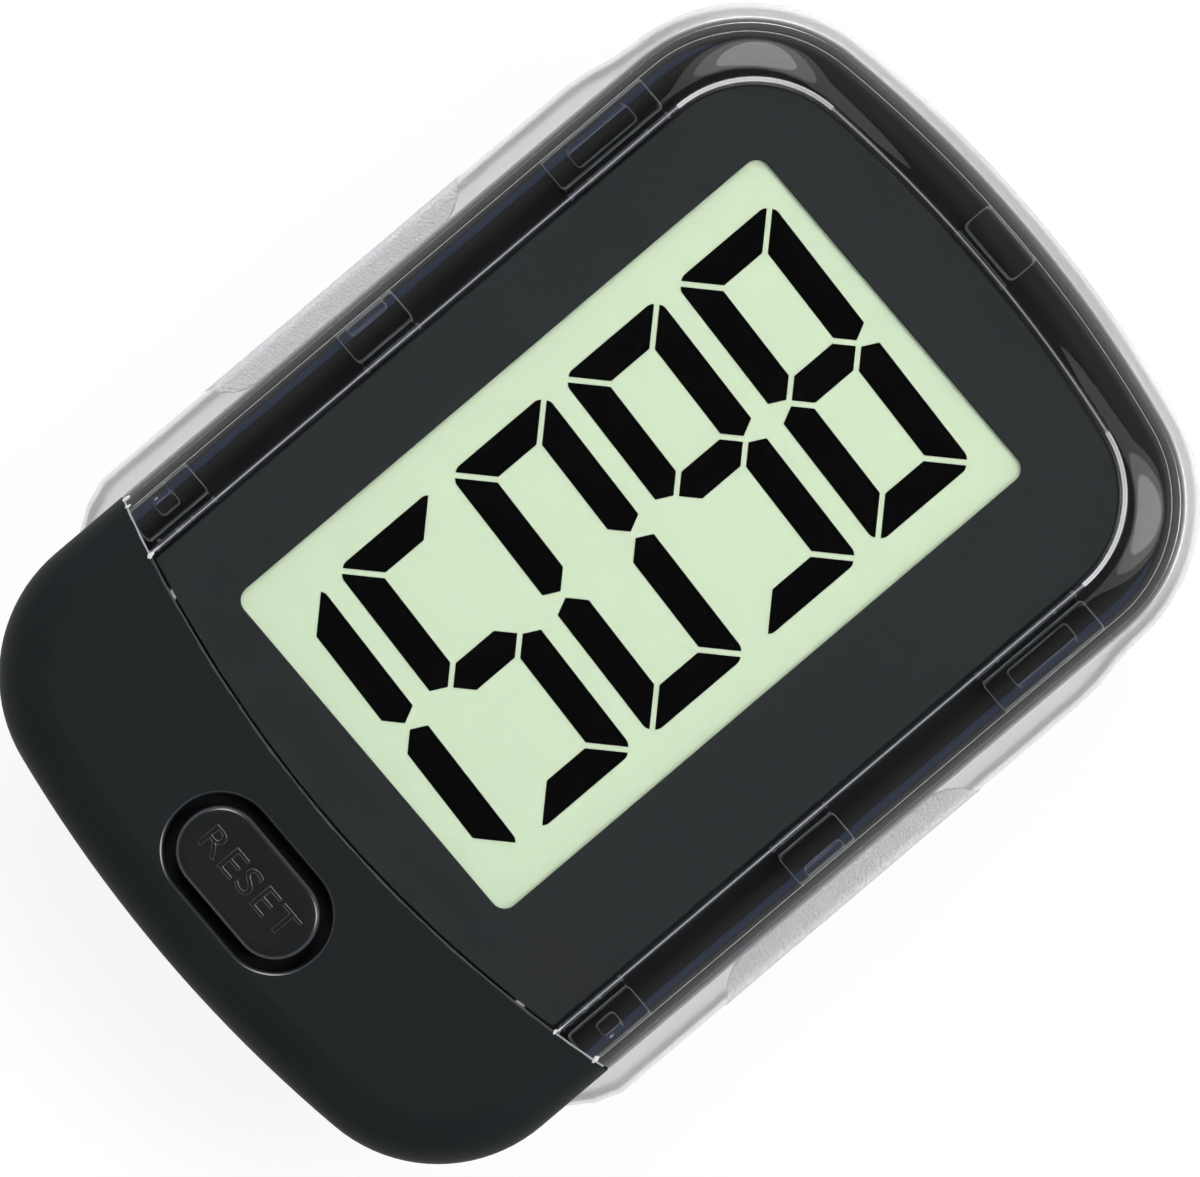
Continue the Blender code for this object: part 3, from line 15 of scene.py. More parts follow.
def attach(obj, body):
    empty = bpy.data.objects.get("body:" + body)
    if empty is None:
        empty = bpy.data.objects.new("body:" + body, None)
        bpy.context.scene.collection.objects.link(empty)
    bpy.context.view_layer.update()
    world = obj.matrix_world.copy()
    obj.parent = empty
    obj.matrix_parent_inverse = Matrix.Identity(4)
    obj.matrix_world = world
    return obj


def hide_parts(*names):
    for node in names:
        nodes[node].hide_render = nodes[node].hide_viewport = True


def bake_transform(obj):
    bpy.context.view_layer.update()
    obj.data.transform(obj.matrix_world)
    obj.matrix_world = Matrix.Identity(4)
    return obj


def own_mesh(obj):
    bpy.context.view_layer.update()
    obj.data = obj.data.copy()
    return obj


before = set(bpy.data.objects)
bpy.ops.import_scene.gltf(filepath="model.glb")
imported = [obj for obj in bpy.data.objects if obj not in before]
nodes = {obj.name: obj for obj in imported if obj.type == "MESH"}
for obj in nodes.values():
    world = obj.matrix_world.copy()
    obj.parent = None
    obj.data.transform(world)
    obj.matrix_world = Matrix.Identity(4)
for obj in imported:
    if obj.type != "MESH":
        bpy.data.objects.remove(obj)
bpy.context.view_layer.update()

# %% [markdown]
# ## The camera
# The photograph looks straight down on the display with hardly any perspective, and the case lies turned
# in the picture. A long lens far away gives that flat view. Turning the camera about its own axis does the
# same as turning the case, and keeps the model square to its own axes.

# %% Set up the camera
MM = 0.001
LENS = 500
SENSOR = 36
VIEW_WIDTH = 60.0 * MM
VIEW_HEIGHT = 16.5 * MM
AIM = (0.17 * MM, -0.15 * MM)
CASE_TURN = math.radians(49.7)
camera_data = bpy.data.cameras.new("photo_camera")
camera_data.lens = LENS
camera_data.sensor_width = SENSOR
camera_data.clip_end = 10
camera = bpy.data.objects.new("photo_camera", camera_data)
bpy.context.scene.collection.objects.link(camera)
camera.location = (*AIM, VIEW_HEIGHT + VIEW_WIDTH * LENS / SENSOR)
camera.rotation_euler = (0, 0, CASE_TURN)
bpy.context.scene.camera = camera
bpy.context.scene.view_settings.view_transform = "Standard"
print("the camera hangs", round(camera.location.z, 3), "m above the floor")

# %% [markdown]
# ## The lamps
# Product photographs use big soft lamps. Two softboxes beyond the clear end draw the broad highlights on its
# corners. A real softbox is brightest in its middle and fades outwards, so each is made of three oval lamps,
# one inside the other. Wide cool ones at the sides draw the thin lines along the rim. Each lamp is given by
# the share of light that it lays on a flat white surface, so that the shares and the sky add up to about one
# and colours render about as they are written.

# %% Make a helper for softboxes
LAMP_DISTANCE = 0.6


def softbox(name, direction, size, share, colour, distance=LAMP_DISTANCE):
    """An oval lamp that looks at the case from an azimuth and an elevation in degrees."""
    turn, rise = [math.radians(angle) for angle in direction]
    data = bpy.data.lights.new(name, "AREA")
    data.shape = "ELLIPSE"
    data.size = size[0]
    data.size_y = size[1]
    data.color = colour
    data.energy = share * (math.pi * distance) ** 2 / math.sin(rise)
    lamp = bpy.data.objects.new(name, data)
    flat = math.cos(rise)
    lamp.location = Vector((math.cos(turn) * flat, math.sin(turn) * flat, math.sin(rise))) * distance
    lamp.rotation_euler = (-lamp.location).to_track_quat("-Z", "Y").to_euler()
    bpy.context.scene.collection.objects.link(lamp)
    print(name, "gives", share, "of the light")


# %% [markdown]
# The lamps beyond the clear end are nearly white. The side ones are blue, which is the colour of the lines on
# the real case's shoulders. The outer ovals hang a little further off, so that none lies in another's plane.

# %% Hang the lamps
WARM = (1.0, 0.99, 0.975)
COOL = (0.24, 0.42, 1.0)
SOFTBOX_SHARE = 0.118
SOFTBOX_RISE = 56
SOFTBOX_SIZE = (0.18, 0.38)
SOFTBOX_STEP = 0.1
LAYER_GAP = 0.01
STRIP_SHARE = 0.034
STRIP_RISE = 37
STRIP_SIZE = (0.5, 0.16)
for side, azimuth in (("left", 134), ("right", 46)):
    for layer in range(3):
        size = [length + SOFTBOX_STEP * layer for length in SOFTBOX_SIZE]
        distance = LAMP_DISTANCE + LAYER_GAP * layer
        softbox(f"{side}_softbox_{layer}", (azimuth, SOFTBOX_RISE), size, SOFTBOX_SHARE, WARM, distance)
softbox("left_strip", (180, STRIP_RISE), STRIP_SIZE, STRIP_SHARE, COOL)
softbox("right_strip", (0, STRIP_RISE), STRIP_SIZE, STRIP_SHARE, COOL)

# %% [markdown]
# ## The sky
# The sky is even but for a darker patch overhead, the black card that a photographer hangs round the lens to
# keep flat glossy faces free of glare. A real card would hang in the way of other views, so it is a part of
# the world's shader. Both of its bands are heights laid out as strengths, which needs two small helpers.

# %% Make helpers for node trees


def link(tree, source, target):
    """Join two sockets of a node tree."""
    tree.links.new(source, target)


def spread(tree, source, low, high, band=(0, 1)):
    """The stretch of a pattern that lies in a band, laid out from low to high."""
    ramp = tree.nodes.new("ShaderNodeMapRange")
    for socket, value in zip(("From Min", "From Max", "To Min", "To Max"), (*band, low, high)):
        ramp.inputs[socket].default_value = value
    link(tree, source, ramp.inputs["Value"])
    return ramp.outputs["Result"]


# %% [markdown]
# The world's own coordinates give the height of each direction, from 0 at the horizon to 1 overhead.

# %% Make the sky
HORIZON = 0.9
SKY = 0.3
CARD = 0.02
HORIZON_BAND = (0.3, 0.5)
CARD_BAND = (0.78, 0.94)


def make_sky():
    """A sky that is brightest at the horizon, with a dark card overhead."""
    world = bpy.data.worlds.new("studio")
    world.use_nodes = True
    tree = world.node_tree
    place = tree.nodes.new("ShaderNodeTexCoord")
    split = tree.nodes.new("ShaderNodeSeparateXYZ")
    link(tree, place.outputs["Generated"], split.inputs["Vector"])
    height = split.outputs["Z"]
    glow = tree.nodes.new("ShaderNodeMath")
    glow.operation = "ADD"
    link(tree, spread(tree, height, HORIZON - SKY, 0, HORIZON_BAND), glow.inputs[0])
    link(tree, spread(tree, height, SKY, CARD, CARD_BAND), glow.inputs[1])
    background = tree.nodes["Background"]
    background.inputs["Color"].default_value = (*WARM, 1)
    link(tree, glow.outputs["Value"], background.inputs["Strength"])
    bpy.context.scene.world = world
    print("the sky goes from", HORIZON, "at the horizon to", CARD, "overhead")


make_sky()

# %% [markdown]
# ## The floor
# The floor is white paper. Where a camera, glossy or glass ray meets it, most of its white is its own glow,
# so that the background stays white without extra light on the case, and the rest is lit and shows the
# case's soft shadow. All other rays meet plain paper.

# %% Make the paper
PAPER = 0.8
SEEN_PAPER = 0.2
SEEN_GLOW = 0.85


def paper(tree, white):
    """A plain matt shader of one whiteness."""
    shader = tree.nodes.new("ShaderNodeBsdfDiffuse")
    shader.inputs["Color"].default_value = (white, white, white, 1)
    return shader.outputs["BSDF"]


def any_ray(tree, *kinds):
    """A switch that is on for any of these kinds of ray."""
    path = tree.nodes.new("ShaderNodeLightPath")
    found = path.outputs[kinds[0]]
    for kind in kinds[1:]:
        either = tree.nodes.new("ShaderNodeMath")
        either.operation = "MAXIMUM"
        link(tree, found, either.inputs[0])
        link(tree, path.outputs[kind], either.inputs[1])
        found = either.outputs["Value"]
    return found


def make_paper():
    """Paper that glows for the rays that look at it, and is plain for all others."""
    material = bpy.data.materials.new("white_paper")
    material.use_nodes = True
    tree = material.node_tree
    tree.nodes.clear()
    glow = tree.nodes.new("ShaderNodeEmission")
    glow.inputs["Strength"].default_value = SEEN_GLOW
    seen = tree.nodes.new("ShaderNodeAddShader")
    link(tree, paper(tree, SEEN_PAPER), seen.inputs[0])
    link(tree, glow.outputs["Emission"], seen.inputs[1])
    mix = tree.nodes.new("ShaderNodeMixShader")
    link(tree, any_ray(tree, "Is Camera Ray", "Is Glossy Ray", "Is Transmission Ray"), mix.inputs["Fac"])
    link(tree, paper(tree, PAPER), mix.inputs[1])
    link(tree, seen.outputs["Shader"], mix.inputs[2])
    output = tree.nodes.new("ShaderNodeOutputMaterial")
    link(tree, mix.outputs["Shader"], output.inputs["Surface"])
    return material


# %% [markdown]
# The sheet is far larger than the view, so that it reaches the horizon from the side too. It is no part of
# the pedometer.

# %% Lay the floor
FLOOR_HALF = 3
FLOOR_CELLS = 8


def make_floor():
    """A sheet of white paper under the case."""
    shape = bmesh.new()
    bmesh.ops.create_grid(shape, x_segments=FLOOR_CELLS, y_segments=FLOOR_CELLS, size=FLOOR_HALF)
    mesh = bpy.data.meshes.new("paper_floor")
    shape.to_mesh(mesh)
    shape.free()
    floor = bpy.data.objects.new("paper_floor", mesh)
    bpy.context.scene.collection.objects.link(floor)
    floor.data.materials.append(make_paper())
    print("the floor is", 2 * FLOOR_HALF, "m wide")


make_floor()

# %% [markdown]
# ## Plastics and metal
# Moulded plastic is never one flat colour: its gloss wanders a little and its skin has a fine grain. Each
# finish here is a Principled shader whose roughness and bump come from noise at a stated grain size, so it
# needs no pictures and looks the same from all sides.

# %% Make a helper for moulded and metal finishes
PATCH = 60
GLOSS_WANDER = 0.2


def noise(tree, grain, detail=2.0):
    """A noise pattern on the piece's own coordinates, with a grain in metres."""
    place = tree.nodes.new("ShaderNodeTexCoord")
    pattern = tree.nodes.new("ShaderNodeTexNoise")
    pattern.inputs["Scale"].default_value = 1 / grain
    pattern.inputs["Detail"].default_value = detail
    link(tree, place.outputs["Object"], pattern.inputs["Vector"])
    return pattern.outputs["Fac"]


def blend_colour(tree, source, first, second):
    """A colour that wanders between two as a pattern does."""
    mix = tree.nodes.new("ShaderNodeMix")
    mix.data_type = "RGBA"
    mix.inputs["A"].default_value = (*first, 1)
    mix.inputs["B"].default_value = (*second, 1)
    link(tree, source, mix.inputs["Factor"])
    return mix.outputs["Result"]


def moulded(name, colour, roughness, grain, depth, metallic=0.0, wander=0.12, specular=0.5, tint=None):
    """A finish with a fine grain, and a colour and gloss that wander over patches of many grains."""
    material = bpy.data.materials.new(name)
    material.use_nodes = True
    tree = material.node_tree
    shader = tree.nodes["Principled BSDF"]
    shader.inputs["Metallic"].default_value = metallic
    shader.inputs["Specular IOR Level"].default_value = specular
    slow = noise(tree, PATCH * grain, 3.0)
    darker = [part * (1 - wander) for part in colour]
    lighter = tint or [part * (1 + wander) for part in colour]
    link(tree, blend_colour(tree, slow, darker, lighter), shader.inputs["Base Color"])
    gloss = spread(tree, slow, roughness * (1 - GLOSS_WANDER), roughness * (1 + GLOSS_WANDER))
    link(tree, gloss, shader.inputs["Roughness"])
    bump = tree.nodes.new("ShaderNodeBump")
    bump.inputs["Distance"].default_value = depth
    link(tree, noise(tree, grain), bump.inputs["Height"])
    link(tree, bump.outputs["Normal"], shader.inputs["Normal"])
    print("mixed", name)
    return material


# %% [markdown]
# No two blacks of the real case are alike. The cap has a satin grain that shines little, its edges are worn
# glossy, the frame inside is nearly flat, and the printed mask behind the lens has a warmer tint that comes
# and goes. A nearly flat black is also painted on the cover's foot as painted shade. Each is given by its
# colour, roughness, grain size and grain depth.

# %% Mix the black finishes
BLACK = moulded("black_plastic", (0.0105, 0.0135, 0.0140), 0.6, 0.09 * MM, 0.003 * MM, specular=0.12)
FRAME_BLACK = moulded("frame_black", (0.004, 0.0045, 0.0045), 0.5, 0.09 * MM, 0.0008 * MM, specular=0.2)
BUTTON_BLACK = moulded("button_black", (0.0075, 0.009, 0.009), 0.5, 0.07 * MM, 0.002 * MM, specular=0.15)
# Painted shade: a nearly flat black for the clear cover's foot, where the narrow gap to the shell lies in
# shade.
GAP_SHADE_BLACK = moulded("painted_gap_shade", (0.006, 0.0065, 0.007), 0.6, 0.5 * MM, 0.0002 * MM, specular=0.1)
BLACK_EDGE = moulded("black_edge", (0.012, 0.014, 0.015), 0.14, 0.09 * MM, 0.001 * MM, specular=0.9)
# Painted highlight: the label's bevels are a lighter grey than the button, and glossier.
LABEL_HIGHLIGHT = moulded("label_painted_highlight", (0.06, 0.065, 0.07), 0.3, 0.03 * MM, 0.006 * MM, wander=0.6, specular=0.9)
MASK_SHADE = (0.0188, 0.0262, 0.0262)
MASK_TINT = (0.0235, 0.0235, 0.0248)
MASK_BLACK = moulded(
    "mask_black", MASK_SHADE, 0.5, 0.13 * MM, 0.0005 * MM, wander=0.05, specular=0.1, tint=MASK_TINT
)
SEGMENT_BLACK = moulded("segment_black", (0.0005, 0.0005, 0.0005), 0.6, 0.1 * MM, 0.0005 * MM, specular=0.02)

# %% [markdown]
# The inside needs the rest: a circuit board with its chips, rubber strips and a silicone dome, and three
# bare metals, which are the same shader with its metallic value at one.

# %% Mix the finishes of the small parts
SILICONE = moulded("silicone", (0.52, 0.52, 0.49), 0.6, 0.1 * MM, 0.004 * MM)
RUBBER = moulded("strip_rubber", (0.30, 0.31, 0.33), 0.7, 0.08 * MM, 0.004 * MM)
BOARD_GREEN = moulded("board_green", (0.02, 0.13, 0.05), 0.4, 0.15 * MM, 0.003 * MM)
EPOXY = moulded("epoxy", (0.012, 0.012, 0.013), 0.25, 0.3 * MM, 0.002 * MM)
CHIP_TAN = moulded("chip_tan", (0.42, 0.31, 0.20), 0.5, 0.05 * MM, 0.002 * MM)
CHIP_DARK = moulded("chip_dark", (0.03, 0.03, 0.035), 0.45, 0.05 * MM, 0.002 * MM)
TIN = moulded("tin", (0.72, 0.72, 0.71), 0.3, 0.06 * MM, 0.001 * MM, metallic=1.0)
STEEL = moulded("steel", (0.60, 0.60, 0.61), 0.28, 0.05 * MM, 0.001 * MM, metallic=1.0)
SPRING_STEEL = moulded("spring_steel", (0.50, 0.50, 0.51), 0.33, 0.05 * MM, 0.001 * MM, metallic=1.0)
DISPLAY_GREEN = moulded("display_green", (0.665, 0.785, 0.555), 0.6, 0.06 * MM, 0.0005 * MM, wander=0.01)

# %% [markdown]
# ## Clear plastic
# Clear plastic is made as glass, since light bends in it the same way. Glass stops the lamps' shadow rays
# in Cycles, and would leave the display dark, so shadow rays are sent through a plain transparent shader.
# Slow waves from the moulding bend the highlights a little, as they do in the real cover.

# %% Make a helper for clear finishes


def clear(name, colour, roughness, ior, grain, depth, shadow=0.95, milk=0.0):
    """A clear finish; milk is how much of it is white haze."""
    material = moulded(name, colour, roughness, grain, depth, wander=0.01)
    tree = material.node_tree
    shader = tree.nodes["Principled BSDF"]
    shader.inputs["Transmission Weight"].default_value = 1 - milk
    shader.inputs["IOR"].default_value = ior
    passing = tree.nodes.new("ShaderNodeBsdfTransparent")
    passing.inputs["Color"].default_value = (shadow, shadow, shadow, 1)
    path = tree.nodes.new("ShaderNodeLightPath")
    mix = tree.nodes.new("ShaderNodeMixShader")
    link(tree, path.outputs["Is Shadow Ray"], mix.inputs["Fac"])
    link(tree, shader.outputs["BSDF"], mix.inputs[1])
    link(tree, passing.outputs["BSDF"], mix.inputs[2])
    link(tree, mix.outputs["Shader"], tree.nodes["Material Output"].inputs["Surface"])
    return material


# %% [markdown]
# The cover is polished and the shell is frosted. Frosted plastic is partly haze, so it holds some of the
# white that falls on it. The grips have a coarse sparkling grain, which is the deepest bump of all. The
# roughness of both keeps clear of about 0.27 over its whole wander, because the denoiser treats a surface
# below that as a mirror and above it as matt, and would draw an outline where the roughness crosses it.

# %% Mix the clear finishes
CLEAR = clear("clear_plastic", (0.97, 0.98, 0.98), 0.015, 1.5, 3 * MM, 0.0012 * MM)
SHELL_CLEAR = clear(
    "frosted_plastic", (0.97, 0.97, 0.97), 0.22, 1.4, 0.25 * MM, 0.01 * MM, shadow=0.93, milk=0.4
)
# Painted highlight: a milky white haze on the lens's step stands for the light that its slanted faces catch.
LENS_STEP_HIGHLIGHT = clear("lens_step_painted_highlight", (0.96, 0.97, 0.97), 0.2, 1.5, 0.5 * MM, 0.01 * MM, shadow=0.9, milk=0.8)
GRIP_GRAIN = clear("grip_grain", (0.98, 0.98, 0.98), 0.36, 1.4, 0.13 * MM, 0.11 * MM, shadow=0.9, milk=0.5)
GLASS = clear("display_glass", (0.99, 1.0, 0.99), 0.01, 1.12, 5 * MM, 0.0005 * MM, shadow=0.99)

# %% [markdown]
# The edges of clear plastic catch the light, so they look bright and no longer see-through. Here that light
# is painted: matt greys of several strengths, uneven along their length, as painted highlights.

# %% Mix the painted highlights of clear edges, and the flash
BRIGHT_EDGE_HIGHLIGHT = moulded("painted_bright_edge_highlight", (0.42, 0.43, 0.44), 0.4, 0.02 * MM, 0.004 * MM, wander=0.5)
DIM_EDGE_HIGHLIGHT = moulded("painted_dim_edge_highlight", (0.055, 0.06, 0.065), 0.4, 0.02 * MM, 0.004 * MM, wander=0.5)
HOOK_EDGE_HIGHLIGHT = moulded("painted_hook_edge_highlight", (0.13, 0.14, 0.145), 0.4, 0.03 * MM, 0.004 * MM, wander=0.6)
FLASH = moulded("mould_flash", (0.75, 0.76, 0.76), 0.4, 0.02 * MM, 0.01 * MM)

# %% [markdown]
# ## Outlines
# The case is one outline at many sizes: ends that bow outwards, round corners and straight sides. Each ring
# of a moulding has the same number of points, so that rings at different heights can be joined by a skin of
# quads. The finer the steps, the smoother the highlights in the clear rim.

# %% Make helpers that draw outlines
CORNER_STEPS = 20
BOW_STEPS = 20
SIDE_STEPS = 28


def arc(centre, radius, start, end, steps):
    """Points along an arc, both ends included."""
    turns = [start + (end - start) * step / steps for step in range(steps + 1)]
    return [(centre[0] + radius * math.cos(a), centre[1] + radius * math.sin(a)) for a in turns]


def bowed_end(half, end, inset):
    """An end, as its reach, bow and corner, drawn in by an inset, from its right side to its left."""
    reach, bow, corner = [length - inset for length in end]
    corner_x = half - inset - corner
    bow_y = reach - bow
    corner_y = bow_y + math.sqrt((bow - corner) ** 2 - corner_x**2)
    meet = math.atan2(corner_y - bow_y, corner_x)
    right = arc((corner_x, corner_y), corner, 0, meet, CORNER_STEPS)
    middle = arc((0, bow_y), bow, meet, math.pi - meet, BOW_STEPS)
    left = arc((-corner_x, corner_y), corner, math.pi - meet, math.pi, CORNER_STEPS)
    return right + middle[1:-1] + left


def case_ring(top, foot, side_x):
    """A closed outline from two ends, with sides whose half width depends on the place along the case."""
    foot = [(-x, -y) for x, y in foot]
    start = top[-1][1]
    end = foot[0][1]
    stations = [start + (end - start) * step / SIDE_STEPS for step in range(1, SIDE_STEPS)]
    left = [(-side_x(y), y) for y in stations]
    right = [(-x, y) for x, y in reversed(left)]
    return top + left + foot + right


# %% [markdown]
# The lengths were measured on the photograph, with the whole case at 57.4 mm. Each end is given by how far
# it reaches, the radius of its bow and the radius of its corners. The seam is a bow of its own.

# %% Draw the cover, the lens and the seam
HALF_LENGTH = 28.7 * MM
BODY_HALF = 18.8 * MM
BODY_TOP = (27.9 * MM, 67 * MM, 8.2 * MM)
BODY_FOOT = (HALF_LENGTH, 73 * MM, 8 * MM)
PANEL_HALF = 15.65 * MM
PANEL_TOP = (24.95 * MM, 75 * MM, 5.9 * MM)
PANEL_FOOT = (25.5 * MM, 73 * MM, 5 * MM)
SEAM_BOW = 67 * MM
SEAM_Y = 18 * MM


def body_ring(inset):
    """The plan of cover and cap, drawn in by an inset."""
    top = bowed_end(BODY_HALF, BODY_TOP, inset)
    foot = bowed_end(BODY_HALF, BODY_FOOT, inset)
    return case_ring(top, foot, lambda y: BODY_HALF - inset)


def panel_ring(inset):
    """The plan of the flat lens, run on below the seam."""
    top = bowed_end(PANEL_HALF, PANEL_TOP, inset)
    foot = bowed_end(PANEL_HALF, PANEL_FOOT, inset)
    return case_ring(top, foot, lambda y: PANEL_HALF - inset)


def seam_y(x, shift=0.0):
    """Where the seam between cover and cap runs."""
    return SEAM_BOW - SEAM_Y + shift - math.sqrt(SEAM_BOW**2 - x**2)


print("a ring has", len(body_ring(0)), "points")

# %% [markdown]
# ## Skins and soft edges
# A moulding's section is drawn as a short list of corners, each with its own radius. The corners are turned
# into arcs, each point of the section into a ring, and the rings into one closed skin. Real mouldings have
# no sharp edges, and it is these small arcs that catch the light.

# %% Make a helper that rounds a section


def soften(corners, steps=6):
    """A section whose corners (inset, height, radius) are rounded."""
    path = []
    for index, (inset, height, radius) in enumerate(corners):
        here = Vector((inset, height))
        if radius == 0:
            path.append((inset, height))
            continue
        back = (Vector(corners[index - 1][:2]) - here).normalized()
        ahead = (Vector(corners[(index + 1) % len(corners)][:2]) - here).normalized()
        half_angle = back.angle(ahead) / 2
        centre = here + (back + ahead).normalized() * (radius / math.sin(half_angle))
        reach = radius / math.tan(half_angle)
        first = here + back * reach - centre
        last = here + ahead * reach - centre
        start = math.atan2(first.y, first.x)
        sweep = math.atan2(first.x * last.y - first.y * last.x, first.dot(last))
        path += arc(centre, radius, start, start + sweep, steps)
    return path


# %% [markdown]
# A skin joins each ring to the next by quads and caps the two ends. It is built with bmesh, because that
# says exactly which point belongs to which face, where a modifier would have to guess.

# %% Make helpers that skin rings


def link_mesh(name, shape):
    """Put a finished bmesh in the scene with outward faces."""
    bmesh.ops.recalc_face_normals(shape, faces=shape.faces)
    mesh = bpy.data.meshes.new(name)
    shape.to_mesh(mesh)
    shape.free()
    piece = bpy.data.objects.new(name, mesh)
    bpy.context.scene.collection.objects.link(piece)
    return piece


def skin(name, rings):
    """A skin over rings of points, capped at both ends."""
    shape = bmesh.new()
    rows = [[shape.verts.new(point) for point in ring] for ring in rings]
    for lower, upper in zip(rows, rows[1:]):
        for index in range(len(lower)):
            after = (index + 1) % len(lower)
            shape.faces.new((lower[index], lower[after], upper[after], upper[index]))
    shape.faces.new(list(reversed(rows[0])))
    shape.faces.new(rows[-1])
    return link_mesh(name, shape)


def at_height(outline, z):
    """An outline as a ring at one height."""
    return [(x, y, z) for x, y in outline]


# %% [markdown]
# Flat pieces, such as glass and the mask, are plates. A plate is one outline drawn four times, and a little
# smaller at its foot and top, which gives it chamfers.

# %% Make helpers for plates
PLATE_EDGE = 0.05 * MM


def inward(outline, inset):
    """A closed outline drawn in evenly by an inset."""
    drawn = []
    for index, (x, y) in enumerate(outline):
        before = Vector(outline[index - 1])
        after = Vector(outline[(index + 1) % len(outline)])
        along = (after - before).normalized()
        drawn.append((x - along.y * inset, y + along.x * inset))
    return drawn


def rectangle(centre, length_x, length_y, radius, steps=6):
    """A rectangle with round corners."""
    outline = []
    for index, (sx, sy) in enumerate(((1, 1), (-1, 1), (-1, -1), (1, -1))):
        start = index * math.pi / 2
        corner = (centre[0] + sx * (length_x / 2 - radius), centre[1] + sy * (length_y / 2 - radius))
        outline += arc(corner, radius, start, start + math.pi / 2, steps)
    return outline


def plate_rings(outline, low, high, edge=PLATE_EDGE):
    """Rings of a flat plate with small chamfers."""
    return [
        at_height(inward(outline, edge), low),
        at_height(outline, low + edge),
        at_height(outline, high - edge),
        at_height(inward(outline, edge), high),
    ]


# %% [markdown]
# ## Joining and cutting
# Booleans join ears and bosses to a piece or cut a seam, as on a real moulding tool. Their result is kept as
# a plain mesh, so that later steps can give its faces a finish.

# %% Make a helper that combines pieces


def combine(piece, tool, operation):
    """Join, cut or intersect a piece with a tool, and keep the result."""
    step = piece.modifiers.new(tool.name, "BOOLEAN")
    step.operation = operation
    step.solver = "EXACT"
    step.object = tool
    bpy.context.view_layer.update()
    depsgraph = bpy.context.evaluated_depsgraph_get()
    mesh = bpy.data.meshes.new_from_object(piece.evaluated_get(depsgraph))
    piece.modifiers.clear()
    piece.data = mesh
    bpy.data.objects.remove(tool, do_unlink=True)
    return piece


# %% [markdown]
# ## Dressing a piece
# Each piece gets its finish and its body, and the nodes that it stands for are hidden, in one step. Faces are
# shaded smooth except across sharp edges. Large flat faces then get the last word over the shading of their
# edges, so that the flat lens stays flat to its very rim and does not mirror a false curve.

# %% Make helpers that dress pieces
SHARP_ANGLE = math.radians(35)
FLAT_WEIGHT = 80


def even_shading(piece):
    """Let large flat faces have the last word over the shading of their edges."""
    even = piece.modifiers.new("even_shading", "WEIGHTED_NORMAL")
    even.keep_sharp = True
    even.weight = FLAT_WEIGHT


def dress(piece, material, body, replaced=()):
    """Give a piece its finish and its body if it has just one, and hide the CAD nodes that it stands for."""
    piece.data.materials.clear()
    piece.data.materials.append(material)
    piece.data.shade_smooth()
    piece.data.set_sharp_from_angle(angle=SHARP_ANGLE)
    even_shading(piece)
    if body:
        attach(piece, body)
    if replaced:
        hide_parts(*replaced)
    print(piece.name, "has", len(piece.data.polygons), "faces")
    return piece


def leans(face, slants):
    """True for a face whose upward lean lies between two values."""
    return slants[0] < face.normal.z < slants[1]


def accent(piece, material, chosen):
    """Give those faces of a piece that are chosen another finish."""
    index = len(piece.data.materials)
    piece.data.materials.append(material)
    for face in piece.data.polygons:
        if chosen(face):
            face.material_index = index


# %% [markdown]
# Nodes that keep their CAD shape come in as loose flat triangles, which would mirror in facets. A small group
# of geometry nodes welds them and shades them smooth, except across edges sharper than a limit. It works as a
# modifier, so the node itself stays as it was imported.

# %% Make a helper that smooths CAD nodes
WELD_DISTANCE = 0.001 * MM
CREASE_ANGLE = math.radians(30)


def make_smoother():
    """A node group that welds a faceted solid and shades it smooth up to the crease angle."""
    tree = bpy.data.node_groups.new("smooth_by_angle", "GeometryNodeTree")
    tree.interface.new_socket("Geometry", in_out="INPUT", socket_type="NodeSocketGeometry")
    tree.interface.new_socket("Geometry", in_out="OUTPUT", socket_type="NodeSocketGeometry")
    start = tree.nodes.new("NodeGroupInput")
    end = tree.nodes.new("NodeGroupOutput")
    weld = tree.nodes.new("GeometryNodeMergeByDistance")
    weld.inputs["Distance"].default_value = WELD_DISTANCE
    shade = tree.nodes.new("GeometryNodeSetMeshNormal")
    shade.mode = "SHARPNESS"
    shade.inputs["Remove Custom"].default_value = True
    angle = tree.nodes.new("GeometryNodeInputMeshEdgeAngle")
    sharp = tree.nodes.new("FunctionNodeCompare")
    sharp.operation = "GREATER_THAN"
    sharp.inputs["B"].default_value = CREASE_ANGLE
    link(tree, angle.outputs["Unsigned Angle"], sharp.inputs["A"])
    link(tree, sharp.outputs["Result"], shade.inputs["Edge Sharpness"])
    link(tree, start.outputs["Geometry"], weld.inputs["Geometry"])
    link(tree, weld.outputs["Geometry"], shade.inputs["Mesh"])
    link(tree, shade.outputs["Mesh"], end.inputs["Geometry"])
    return tree


SMOOTHER = make_smoother()


def dress_node(name, material):
    """Give a CAD node that stays its procedural finish and smooth shading."""
    node = nodes[name]
    node.data.materials.clear()
    node.data.materials.append(material)
    smooth = node.modifiers.new("smooth_by_angle", "NODES")
    smooth.node_group = SMOOTHER
    even_shading(node)


# %% [markdown]
# ## The front's section
# Cover and cap share one section: a straight wall, a tight shoulder and a wide flat crown, which together
# make the rim. It is skinned as a whole case front for each of the two, and each is then cut off along the
# seam, because the rim then runs on from one to the other without a step.

# %% Draw the front's section
BASE_Z = 12.9 * MM
COVER_FOOT_Z = 15.35 * MM
CEILING_Z = 16.55 * MM
LENS_Z = 17.65 * MM
RIM_Z = 18.15 * MM
WALL = 1.0 * MM
CEILING_INSET = 3.0 * MM
SHOULDER_RADIUS = 2.2 * MM
CROWN_RADIUS = 4.0 * MM
CROWN_START = math.radians(25)
CROWN_END = math.radians(4)


